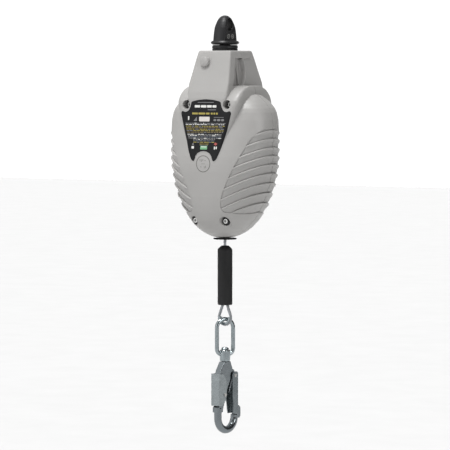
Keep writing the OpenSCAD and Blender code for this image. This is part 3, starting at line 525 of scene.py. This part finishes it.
def sink(bm, holes, nv, side):
    """Counterbores: the outer skin is opened round each axis and drawn down to a floor, and the inner skin gets a boss."""
    for hx, hz, fy in holes:
        for skin, rad_c, depth in ((0, 8.1, fy), (1, 10.6, fy + 3.0)):
            bm.faces.ensure_lookup_table()
            sel = []
            for f in bm.faces:
                c = f.calc_center_median() * 1000
                if abs(c.x - hx) > 14 or abs(c.z - hz) > 14 or side * c.y < 10:
                    continue
                idx = [v.index for v in f.verts]
                is_in = all(i >= nv for i in idx)
                if (skin == 0 and is_in) or (skin == 1 and not is_in):
                    continue
                if any(i < 0 for i in idx):
                    continue
                if math.hypot(c.x - hx, c.z - hz) < rad_c - 0.05:
                    sel.append(f)
            bmesh.ops.delete(bm, geom=sel, context="FACES")
            bm.verts.ensure_lookup_table()
            edges = [e for e in bm.edges if e.is_boundary and all(math.hypot(v.co.x * 1000 - hx, v.co.z * 1000 - hz) < rad_c + 3.5 for v in e.verts)
                     and all(side * v.co.y > 0.01 for v in e.verts)]
            loop_v = {v for e in edges for v in e.verts}
            ys = []
            for v in loop_v:
                x, z = v.co.x * 1000 - hx, v.co.z * 1000 - hz
                a = math.atan2(z, x)
                old = v.co.copy()
                nx, nz = hx + rad_c * math.cos(a), hz + rad_c * math.sin(a)
                if skin == 0:
                    y = float(front_y(np.array(nx), np.array(nz)))
                else:
                    y = abs(old.y) * 1000
                v.co = Vector((nx * MM, side * y * MM, nz * MM))
            cur = edges
            steps = [(rad_c - 0.22, 0.12), (rad_c - 0.35, 0.45)] if skin == 0 else []
            for rr, dy in steps:
                ex = bmesh.ops.extrude_edge_only(bm, edges=cur)
                nvv = [g for g in ex["geom"] if isinstance(g, bmesh.types.BMVert)]
                cur = [g for g in ex["geom"] if isinstance(g, bmesh.types.BMEdge) and all(v in nvv for v in g.verts)]
                for v in nvv:
                    a = math.atan2(v.co.z * 1000 - hz, v.co.x * 1000 - hx)
                    v.co.x, v.co.z = (hx + rr * math.cos(a)) * MM, (hz + rr * math.sin(a)) * MM
                    v.co.y -= side * dy * MM
            rr = rad_c - 0.35 if skin == 0 else rad_c
            for k, (q, y) in enumerate([(rr, depth), (rr * 0.45, depth)]):
                ex = bmesh.ops.extrude_edge_only(bm, edges=cur)
                nvv = [g for g in ex["geom"] if isinstance(g, bmesh.types.BMVert)]
                cur = [g for g in ex["geom"] if isinstance(g, bmesh.types.BMEdge) and all(v in nvv for v in g.verts)]
                for v in nvv:
                    a = math.atan2(v.co.z * 1000 - hz, v.co.x * 1000 - hx)
                    v.co = Vector(((hx + q * math.cos(a)) * MM, y * MM, (hz + q * math.sin(a)) * MM))
            bmesh.ops.contextual_create(bm, geom=cur)


front = casing_half("front_casing_shell", -1, M_CASE)
place(front, "housing", "front_casing", slot="casing_polymer")
rear = casing_half("rear_casing_shell", 1, M_CASE2)
place(rear, "housing", "rear_casing", slot="casing_polymer")

# seal strip between the halves, following the outline and its recesses
sz = np.concatenate([np.arange(-48.5, -56.5, -1.0), np.arange(-56.5, -60, -0.25), np.arange(-60, -110, -1.0), np.arange(-110, -356, -2.0), np.arange(-356, -361, -0.7)])
r0 = radius(np.zeros_like(sz), sz)
fl_x = np.interp(sz, FZ, FX)
seal_o = np.where((sz < -57.2) & (sz > -105.4), np.minimum(r0, fl_x), r0) - 1.6 + np.where(sz < -170, -1.2, 0)
for q, sx in (("r", 1), ("l", -1)):
    vs = []
    for y in (-0.39, 0.39):
        for xo, z in zip(seal_o, sz):
            vs.append((sx * xo * MM, y * MM, z * MM))
        for xo, z in zip(seal_o, sz):
            vs.append((sx * (xo - 2.2) * MM, y * MM, z * MM))
    ns = len(sz)
    fs = []
    for i in range(ns - 1):
        a0, a1, b0, b1 = i, i + 1, ns + i, ns + i + 1
        c0, c1, d0, d1 = 2 * ns + i, 2 * ns + i + 1, 3 * ns + i, 3 * ns + i + 1
        fs += [(a0, a1, b1, b0), (c0, d0, d1, c1), (a0, c0, c1, a1), (b0, b1, d1, d0)]
    fs += [(0, ns, 3 * ns, 2 * ns), (ns - 1, 3 * ns - 1, 4 * ns - 1, 2 * ns - 1)]
    sl = new_obj("seal_strip_" + q, vs, fs, M_SEAL, smooth=True, angle=30)
    if sx > 0:
        place(sl, "housing", "casing_seal", slot="seal_rubber")
    else:
        place(sl, "housing", slot="seal_rubber")

# black rings on the counterbore floors under the casing screws: painted shade round the screw heads
for i, (wx, wz, wy) in enumerate([(41.5, -136.7, -42.0), (-41.5, -136.7, -42.0), (31.0, -334.9, -40.0), (-31.0, -334.9, -40.0)]):
    ws = lathe("screw_recess_shade_ring_%d" % (i + 1), [(2.7, 0.05), (7.1, 0.05), (7.4, 0.3), (7.4, 1.0), (7.1, 1.3), (4.9, 1.4), (4.6, 1.2), (2.7, 1.2)], M_BLACKP, 64, "Y", (wx, -wy, wz))
    ws.data.transform(Matrix.Scale(-1, 4, (0, 1, 0)))
    ws.data.flip_normals()
    place(ws, "housing", slot="black_polymer")

# round boss on the neck's front
BX, BZc = -13.4, -63.6
by = float(front_y(np.array(BX), np.array(BZc)))
boss = lathe("neck_boss", [(0.01, by - 2), (8.9, by - 2), (8.75, by + 0.8), (8.6, by + 5.6), (8.2, by + 6.5), (7.4, by + 6.9), (0.01, by + 7.0)],
             M_CASE, 72, "Y", (BX, 0, BZc), closed=False, angle=40)
boss.data.transform(Matrix.Scale(-1, 4, (0, 1, 0)))
boss.data.flip_normals()
place(boss, "housing", slot="casing_polymer")

# small ribs in the neck pockets
def fin(name, sx, sy):
    v = []
    for y in (7.0, 9.6):
        for x, z in [(26, -74), (29.4, -74), (32.0, -88), (35.6, -106.0), (26, -106.0)]:
            v.append((sx * x * MM, sy * y * MM, z * MM))
    f = [(0, 1, 2, 3, 4), (9, 8, 7, 6, 5)] + [(i, (i + 1) % 5, 5 + (i + 1) % 5, 5 + i) for i in range(5)]
    ob = new_obj(name, v, f, M_CASE if sy < 0 else M_CASE2, smooth=True, angle=30)
    bm = bmesh.new()
    bm.from_mesh(ob.data)
    bmesh.ops.bevel(bm, geom=list(bm.edges), offset=0.0007, segments=3, affect="EDGES", profile=0.5)
    bmesh.ops.recalc_face_normals(bm, faces=bm.faces)
    bm.to_mesh(ob.data)
    bm.free()
    place(ob, "housing", slot="casing_polymer")


for sx in (-1, 1):
    for sy in (-1,):
        fin(f"pocket_rib_{'r' if sx > 0 else 'l'}{'f' if sy < 0 else 'b'}", sx, sy)

# ------------------------------------------------------------------ label
LAB_W = tab([(-240, 21), (-232, 25.0), (-215, 32.6), (-180, 44.2), (-152, 51.2), (-120, 51.2)])
LAB_TOP = tab([(0, -127.5), (0.3, -128.6), (0.5, -130.6), (0.56, -131.6), (0.59, -133), (0.605, -136.5), (0.625, -140), (0.66, -144), (0.70, -146.8), (0.76, -148.6), (0.83, -149.2),
               (0.89, -148.4), (0.94, -147.4), (0.98, -148.6), (1.0, -151)])
LAB_BOT = tab([(0, -215.6), (0.2, -216.4), (0.4, -219.2), (0.58, -224.4), (0.68, -229.2), (0.76, -231.8), (0.84, -232.8), (0.92, -232), (0.97, -230), (1.0, -227)])


def label_sheet(name, mat, lift, grow=0.0):
    us = np.unique(np.concatenate([np.linspace(-1, 1, 61), [s * v for s in (-1, 1) for v in (0.56, 0.59, 0.605, 0.625, 0.64, 0.98, 0.99)]]))
    ts = np.linspace(0, 1, 70)
    U, Tt = np.meshgrid(us, ts)
    top = LAB_TOP(np.abs(U)) + grow
    bot = LAB_BOT(np.abs(U)) - grow
    Z = top + (bot - top) * Tt
    X = U * (LAB_W(Z) + grow)
    Y = -(front_y(X, Z) + lift)
    v = np.stack([X, Y, Z], -1).reshape(-1, 3)
    n = len(v)
    back = v.copy()
    back[:, 1] += min(lift, 0.35) + 0.25
    nr, nc = U.shape
    faces = grid_faces(nr, nc) + [tuple(reversed(f)) for f in grid_faces(nr, nc, n)]
    rim = [j for j in range(nc)] + [i * nc + nc - 1 for i in range(1, nr)] + [(nr - 1) * nc + j for j in range(nc - 2, -1, -1)] + [i * nc for i in range(nr - 2, 0, -1)]
    for a, b in zip(rim, rim[1:] + rim[:1]):
        faces.append((a, b, n + b, n + a))
    ob = new_obj(name, np.concatenate([v, back]) * MM, faces, mat, angle=60)
    return ob


rimm = label_sheet("label_rim", M_CASE, 0.30, 1.3)
place(rimm, "housing", slot="casing_polymer")
lab = label_sheet("face_label_film", M_LABEL, 0.5)
place(lab, "housing", "face_label", slot="label_film")

P_WHITE = flat_print("print_white", (0.62, 0.62, 0.60))
P_GREY = flat_print("print_grey", (0.16, 0.16, 0.165))
P_YEL = flat_print("print_yellow", (0.30, 0.245, 0.045))
P_ORG = flat_print("print_orange", (0.17, 0.13, 0.06))
P_GRN = flat_print("print_green", (0.13, 0.34, 0.17))
P_RED = flat_print("print_red", (0.33, 0.06, 0.05))
P_WIN = flat_print("print_window", (0.55, 0.52, 0.50))
P_BLUE = flat_print("print_blue", (0.09, 0.11, 0.14))
prints = {}


def patch(mat, x0, x1, z0, z1, lift=0.56, r=None, poly=None):
    """A thin printed patch on the label: a rounded box, or a polygon of (x, z) points."""
    if poly is None:
        w, h = (x1 - x0) / 2, (z1 - z0) / 2
        cx, cz = (x0 + x1) / 2, (z0 + z1) / 2
        r = min(w, h) * 0.6 if r is None else r
        pts = []
        for qx, qz, a0 in ((1, 1, 0), (-1, 1, 90), (-1, -1, 180), (1, -1, 270)):
            for k in range(4):
                a = math.radians(a0 + 30 * k)
                pts.append((cx + qx * (w - r) + r * math.cos(a), cz + qz * (h - r) + r * math.sin(a)))
    else:
        pts = poly
        cx = sum(p[0] for p in pts) / len(pts)
        cz = sum(p[1] for p in pts) / len(pts)
    vs = prints.setdefault(mat.name, (mat, [], []))
    V, F = vs[1], vs[2]
    o = len(V)
    P = np.array(pts + [(cx, cz)])
    yf = front_y(P[:, 0], P[:, 1])
    n = len(pts)
    for (x, z), y in zip(P, yf):
        V.append((x * MM, -(y + lift) * MM, z * MM))
    for (x, z), y in zip(P, yf):
        V.append((x * MM, -(y + lift - 0.18) * MM, z * MM))
    for k in range(n):
        k2 = (k + 1) % n
        F.append((o + k, o + k2, o + n))
        F.append((o + n + 1 + k2, o + n + 1 + k, o + n + 1 + n))
        F.append((o + k, o + n + 1 + k, o + n + 1 + k2, o + k2))


patch(P_GREY, -17, 16, -133.4, -132.4)
for a, b in [(-23, -12), (-10.5, 1), (2.5, 12), (13.5, 21.5)]:
    patch(P_WHITE, a, b, -141.6, -137.6, r=0.9)
patch(P_GREY, 4, 21, -146.0, -144.9)
for a, b in [(-28, -16), (-14.8, -1), (0.5, 8), (10.5, 14.5), (16, 19.5), (21, 25)]:
    patch(P_YEL, a, b, -153.4, -150.2, r=0.8)
patch(P_WIN, -13.2, 8.4, -165.2, -157.2, r=1.4)
patch(P_WHITE, -36.2, -33.6, -163, -156.5)
patch(P_GREY, 0, 0, 0, 0, poly=[(-24.5, -164.5), (-17.5, -164.5), (-18.3, -157.5)])
patch(P_GREY, 17, 37, -158.6, -157.8)
for a, b in [(16.5, 22.0), (23.5, 30.5), (32, 38)]:
    patch(P_GREY, a, b, -164.6, -161.0, r=1.6)
rows_ = [(-168.4, P_GREY), (-170.6, P_WHITE), (-173.4, P_YEL), (-175.8, P_ORG), (-178.4, P_YEL), (-181.0, P_YEL), (-183.6, P_ORG), (-187.2, P_WHITE), (-189.4, P_GREY),
         (-191.6, P_BLUE), (-193.8, P_GREY), (-196.0, P_GREY), (-198.2, P_BLUE), (-200.6, P_YEL)]
for i, (z, m) in enumerate(rows_):
    w = float(LAB_W(z)) - 6.0
    if i > 10:
        w *= 0.72
    x = -w
    while x < w - 2:
        L = random.uniform(2.5, 7.5)
        x1 = min(x + L, w)
        mm_ = m if random.random() < 0.78 else (P_GREY if m is not P_GREY else P_WHITE)
        patch(mm_, x, x1, z - 0.55, z + 0.55, r=0.3)
        x = x1 + random.uniform(0.8, 1.6)
for k in range(4):
    z = -203.6 - 2.0 * k
    patch(P_GREY if k % 2 else P_YEL, -9 + k * 0.5, 9 - k * 0.5, z - 0.45, z + 0.45, r=0.3) if k < 2 else None
patch(P_GREY, 0, 0, 0, 0, poly=[(-25.5, -205.2), (-21.0, -205.2), (-23.2, -201.2)])
patch(P_WHITE, -26.2, -20.6, -211.6, -207.2, r=1.2)
patch(P_RED, 0, 0, 0, 0, poly=[(19.6, -203.4), (23.2, -200.8), (26.8, -203.4), (23.2, -206.0)])
patch(P_WHITE, 20.4, 22.6, -212.6, -207.6)
patch(P_WHITE, 23.8, 26.0, -212.0, -207.6)
patch(P_GRN, -7, 7, -212.8, -206.8, r=0.7)
patch(P_WHITE, -5.6, 5.6, -209.0, -207.8, lift=0.6, r=0.3)
for nm, (m, V, F) in prints.items():
    ob = new_obj(nm + "_marks", V, F, m, smooth=False)
    place(ob, "housing", slot="label_film")

# engraved ring on the spine below the label, with two plain strokes
def inlay(name, rin, rout, cx, cz, mat, n=96, lift=0.06):
    V, F = [], []
    for r in (rin, rout):
        for k in range(n):
            a = 2 * math.pi * k / n
            x, z = cx + r * math.cos(a), cz + r * math.sin(a)
            V.append((x, -(float(front_y(np.array(x), np.array(z))) + lift), z))
    V2 = [(x, y + 0.5, z) for x, y, z in V]
    nv = len(V)
    for k in range(n):
        k2 = (k + 1) % n
        F.append((k, k2, n + k2, n + k))
        F.append((nv + n + k, nv + n + k2, nv + k2, nv + k))
        F.append((k2, k, nv + k, nv + k2))
        F.append((n + k, n + k2, nv + n + k2, nv + n + k))
    ob = new_obj(name, np.array(V + V2) * MM, F, mat, angle=40)
    place(ob, "housing", slot="casing_polymer")


M_ENGR = polymer("engraved_shadow", (0.13, 0.127, 0.122), 0.1, 0.6, 2600, 0.1, 0.0, 0.3)
inlay("ring_mark_outer", 13.1, 14.4, 0, -237.2, M_ENGR)
V, F = [], []
for mx, mz, mw, mh in [(-6.4, -231.0, 0.8, 3.6), (-3.6, -231.6, 0.8, 4.2), (-0.6, -230.8, 0.8, 3.2), (2.6, -243.2, 0.8, 3.6), (5.4, -242.4, 0.8, 4.2), (-4.6, -242.4, 2.6, 0.8), (4.2, -231.8, 2.6, 0.8), (0, -237.2, 7.4, 0.5)]:
    o = len(V)
    for yy in (0.06, -0.4):
        for qx, qz in ((-1, -1), (1, -1), (1, 1), (-1, 1)):
            x, z = mx + qx * mw / 2, mz + qz * mh / 2
            V.append((x * MM, -(float(front_y(np.array(x), np.array(z))) + yy) * MM, z * MM))
    F += [tuple(o + k for k in q) for q in ((0, 1, 2, 3), (7, 6, 5, 4), (0, 4, 5, 1), (1, 5, 6, 2), (2, 6, 7, 3), (3, 7, 4, 0))]
mk = new_obj("ring_mark_strokes", V, F, M_ENGR, smooth=False)
place(mk, "housing", slot="casing_polymer")

# ------------------------------------------------------------------ anchor eye and collar
eye = soft_copy("anchor_eye", M_EYE, 0.5, 10)
# two plain stamped rings on each flat of the eye
for sx in (-1, 1):
    for k, my in enumerate((-6.6, 5.2)):
        st = lathe("eye_stamp_%s%d" % ("r" if sx > 0 else "l", k), [(2.3, 11.2), (2.35, 11.88), (2.6, 11.96), (3.8, 11.96), (4.05, 11.88), (4.1, 11.2)], M_STAMP, 48, "X", (0, my, -20.2), angle=40)
        if sx < 0:
            st.data.transform(Matrix.Scale(-1, 4, (1, 0, 0)))
            st.data.flip_normals()
        dt = lathe("eye_stamp_dot_%s%d" % ("r" if sx > 0 else "l", k), [(0.01, 11.2), (1.1, 11.2), (1.1, 11.88), (0.9, 11.95), (0.01, 11.96)], M_STAMP, 24, "X", (0, my, -20.2), closed=False, angle=40)
        if sx < 0:
            dt.data.transform(Matrix.Scale(-1, 4, (1, 0, 0)))
            dt.data.flip_normals()
        place(st, "anchor", slot="black_steel")
        place(dt, "anchor", slot="black_steel")
collar = lathe("top_collar_ring", [(8.4, -48.6), (11.9, -48.6), (11.9, -44.4), (20.4, -44.4), (21.6, -44.1), (22.1, -43.2), (22.1, -42.2), (21.4, -41.6), (21.2, -41.1), (21.5, -40.7),
                                   (22.15, -40.1), (22.2, -38.0), (21.9, -36.6), (21.0, -35.4), (20.2, -35.05), (8.4, -35.0)], M_BLACKP, 128)
place(collar, "housing", "top_collar", slot="black_polymer")

# ------------------------------------------------------------------ outlet bumper
bump_ob = lathe("outlet_bumper_ring", [(3.2, -368.4), (8, -368.5), (18.4, -368.55), (19.3, -368.4), (19.85, -367.9), (19.85, -366.6), (19.3, -366.1), (18.4, -366.0), (9.2, -366.0), (7.6, -365.9), (7.2, -365.05),
                                       (3.2, -365.05)], M_RUBBER, 128)
place(bump_ob, "housing", "outlet_bumper", slot="black_rubber")

# ------------------------------------------------------------------ wire rope
def frames(P):
    P = np.array(P, float)
    T = np.gradient(P, axis=0)
    T /= np.linalg.norm(T, axis=1)[:, None]
    N = np.zeros_like(P)
    ref = np.array([0, 1.0, 0])
    n = ref - T[0] * (ref @ T[0])
    n /= np.linalg.norm(n)
    N[0] = n
    for i in range(1, len(P)):
        n = N[i - 1] - T[i] * (N[i - 1] @ T[i])
        N[i] = n / np.linalg.norm(n)
    return P, T, N, np.cross(T, N)


def resample(pts, step):
    P = np.array(pts, float)
    # Catmull-Rom through the points
    Q = [P[0] * 2 - P[1]] + list(P) + [P[-1] * 2 - P[-2]]
    out = []
    for i in range(1, len(Q) - 2):
        p0, p1, p2, p3 = Q[i - 1], Q[i], Q[i + 1], Q[i + 2]
        n = max(2, int(np.linalg.norm(p2 - p1) / step))
        for k in range(n):
            t = k / n
            out.append(0.5 * (2 * p1 + (p2 - p0) * t + (2 * p0 - 5 * p1 + 4 * p2 - p3) * t * t + (3 * p1 - p0 - 3 * p2 + p3) * t ** 3))
    out.append(P[-1])
    return np.array(out)


def rope_mesh(name, pts, mat, r=2.5, lay=32.0, strands=6, step=0.8, sides=10, phase=0.0):
    P, T, N, B = frames(resample(pts, step))
    s = np.concatenate([[0], np.cumsum(np.linalg.norm(np.diff(P, axis=0), axis=1))])
    V, F = [], []
    rs = r * 0.355
    ro = r - rs
    def tube(C, Nn, Bb, rr, n):
        o = len(V)
        for i in range(len(C)):
            for k in range(n):
                a = 2 * math.pi * k / n
                V.append(tuple((C[i] + rr * (math.cos(a) * Nn[i] + math.sin(a) * Bb[i])) * MM))
        F.extend(grid_faces(len(C), n, o, wrap_c=True))
        F.append(tuple(o + k for k in reversed(range(n))))
        F.append(tuple(o + (len(C) - 1) * n + k for k in range(n)))
    tube(P, N, B, ro * 0.72, 8)
    for q in range(strands):
        a = phase + 2 * math.pi * q / strands + 2 * math.pi * s / lay
        C = P + ro * (np.cos(a)[:, None] * N + np.sin(a)[:, None] * B)
        tube(C, N, B, rs, sides)
    return new_obj(name, V, F, mat, angle=60)


line = rope_mesh("paid_out_rope", [(0, 0, -352.2), (0, 0, -359), (0, 0, -366), (0, 0, -372), (0, 0, -381)], M_ROPE, step=0.35)
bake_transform(line)
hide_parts("paid_out_cable")

ROUTE = [[0, -381], [0, -388], [0, -396], [-0.6, -402], [-1.7, -408], [-2.6, -414], [-2.6, -428], [-2.6, -442], [-2.6, -456], [-2.9, -466],
         [-3.9, -475], [-5.4, -483], [-7.8, -490], [-10.1, -496], [-11.6, -500.5], [-12, -504.5], [-11.1, -508.6], [-8.6, -512.2], [-4.7, -514.7],
         [0, -515.6], [4.7, -514.7], [8.6, -512.2], [11.1, -508.6], [12, -504.5], [11.6, -500.5], [10.1, -496], [7.8, -490], [5.4, -483],
         [3.9, -475], [2.9, -466], [2.6, -456], [2.6, -442], [2.6, -428], [2.6, -416]]
loop = rope_mesh("rope_eye_loop", [(x, 0, z) for x, z in ROUTE], M_ROPE, r=2.48, step=0.9)
place(loop, "lifeline", "rope_loop", slot="wire_rope")

soft_copy("thimble", M_ZINC, 0.25, 3)
M_FERR = metal("ferrule_aluminium", (0.55, 0.56, 0.57), 0.45, 0.08, None, 0.1, 0.15)
NODES["ferrule"].material_slots[0].material = M_FERR

# ------------------------------------------------------------------ grip sleeve
zt, zb, rr_ = -379.3, -481.6, 12.75
prof = [(2.6, zt), (5.2, zt), (6.4, zt - 0.25), (7.2, zt - 0.9), (11.4, zt - 4.9), (12.2, zt - 5.9), (12.6, zt - 7.0), (rr_, zt - 8.6)]
prof += [(rr_, z) for z in np.arange(zt - 12, zb + 4, -4.0)]
prof += [(rr_, zb + 2.6), (12.5, zb + 1.2), (11.9, zb + 0.4), (11.0, zb), (9.6, zb), (9.0, zb + 0.6), (8.7, zb + 2), (8.7, -412), (2.6, -398)]
sleeve = lathe("grip_sleeve_rubber", prof, M_RUBBER, 128, angle=50)
place(sleeve, "lifeline", "grip_sleeve", slot="black_rubber")

# ------------------------------------------------------------------ bail, hook, gate, lever, pins
soft_copy("swivel_bail", M_ZINC, 0.40, 8)
soft_copy("hook_body", M_ZINC_SHADED, 0.45, 8)
soft_copy("swivel_rivet", M_ZINC, 0.3, 4)
soft_copy("gate", M_ZINC_PLATE_SHADED, 0.28, 4)
soft_copy("lock_lever", M_ZINC2, 0.28, 4)
for n in ("gate_pin", "lock_pin"):
    soft_copy(n, M_SCREW, 0.2, 3)
for n in ("casing_screws",):
    soft_copy(n, M_SCREW, 0.22, 3)

# ------------------------------------------------------------------ stage, lights, camera
scene = bpy.context.scene
m, nt, b = mat_new("studio_floor")
n = noise(nt, 3, 3)
r = ramp(nt, n.outputs[0], [(0.3, (0.60, 0.60, 0.60, 1)), (0.7, (0.62, 0.62, 0.62, 1))])
nt.links.new(r.outputs[0], b.inputs["Base Color"])
b.inputs["Roughness"].default_value = 0.8
b.inputs["Specular IOR Level"].default_value = 0.1
fl = 60.0
floor = new_obj("floor", [(-fl, -fl, -2.80), (fl, -fl, -2.80), (fl, fl, -2.80), (-fl, fl, -2.80)], [(0, 1, 2, 3)], m, smooth=False)

world = bpy.data.worlds.new("studio")
scene.world = world
world.use_nodes = True
wn = world.node_tree
bg = wn.nodes["Background"]
tcw = wn.nodes.new("ShaderNodeTexCoord")
dot = wn.nodes.new("ShaderNodeVectorMath")
dot.operation = "DOT_PRODUCT"
dot.inputs[1].default_value = Vector((0.97, 0.10, -0.20)).normalized()
wn.links.new(tcw.outputs["Generated"], dot.inputs[0])
mrw = wn.nodes.new("ShaderNodeMapRange")
mrw.inputs[1].default_value, mrw.inputs[2].default_value = -0.36, 0.42
mrw.inputs[3].default_value, mrw.inputs[4].default_value = 1.08, 0.10
wn.links.new(dot.outputs["Value"], mrw.inputs[0])
lp = wn.nodes.new("ShaderNodeLightPath")
mxw = wn.nodes.new("ShaderNodeMix")
mxw.data_type = "FLOAT"
mxw.inputs[3].default_value = 1.1
wn.links.new(lp.outputs["Is Camera Ray"], mxw.inputs[0])
dot2 = wn.nodes.new("ShaderNodeVectorMath")
dot2.operation = "DOT_PRODUCT"
dot2.inputs[1].default_value = Vector((-1.0, 0.25, -0.15)).normalized()
wn.links.new(tcw.outputs["Generated"], dot2.inputs[0])
mr2 = wn.nodes.new("ShaderNodeMapRange")
mr2.inputs[1].default_value, mr2.inputs[2].default_value = 0.50, 0.92
mr2.inputs[3].default_value, mr2.inputs[4].default_value = 1.0, 0.40
wn.links.new(dot2.outputs["Value"], mr2.inputs[0])
mul = wn.nodes.new("ShaderNodeMath")
mul.operation = "MULTIPLY"
wn.links.new(mrw.outputs[0], mul.inputs[0])
wn.links.new(mr2.outputs[0], mul.inputs[1])
wn.links.new(mul.outputs[0], mxw.inputs[2])
wn.links.new(mxw.outputs[0], bg.inputs[1])
bg.inputs[0].default_value = (1.0, 1.0, 1.0, 1)


def sun(name, direction, power, angle):
    d = bpy.data.lights.new(name, "SUN")
    d.energy = power
    d.angle = math.radians(angle)
    o = bpy.data.objects.new(name, d)
    scene.collection.objects.link(o)
    o.rotation_mode = "QUATERNION"
    o.rotation_quaternion = Vector(direction).to_track_quat("-Z", "Y")
    return o


def area(name, loc, target, size, power, col=(1, 1, 1)):
    d = bpy.data.lights.new(name, "AREA")
    d.shape = "DISK"
    d.size = size
    d.energy = power
    d.color = col
    o = bpy.data.objects.new(name, d)
    scene.collection.objects.link(o)
    o.location = loc
    o.rotation_mode = "QUATERNION"
    o.rotation_quaternion = (Vector(target) - Vector(loc)).to_track_quat("-Z", "Y")
    return o


CX = Vector((0, 0, -0.344))
sun("key", (0.04, 0.36, -0.92), 3.1, 22)
area("side", (-1.2, -2.6, 0.1), CX, 1.4, 6)
area("right", (2.6, -0.7, 0.2), CX, 1.0, 20)

cam_d = bpy.data.cameras.new("camera")
cam = bpy.data.objects.new("camera", cam_d)
scene.collection.objects.link(cam)
scene.camera = cam
AZ, EL, DIST = math.radians(34.0), math.radians(2.8), 5.2
back = Vector((math.sin(AZ) * math.cos(EL), -math.cos(AZ) * math.cos(EL), math.sin(EL)))
target = Vector((0, 0, -0.3440))
cam.location = target + back * DIST
cam.rotation_mode = "QUATERNION"
cam.rotation_quaternion = (-back).to_track_quat("-Z", "Y")
cam_d.sensor_width = 36
cam_d.lens = 36.0 / (0.774 / DIST)
cam_d.clip_start, cam_d.clip_end = 0.1, 200
cam_d.dof.use_dof = False
scene.view_settings.view_transform = "Standard"
scene.view_settings.look = "None"
scene.view_settings.exposure = 0.0
scene.view_settings.gamma = 1.0
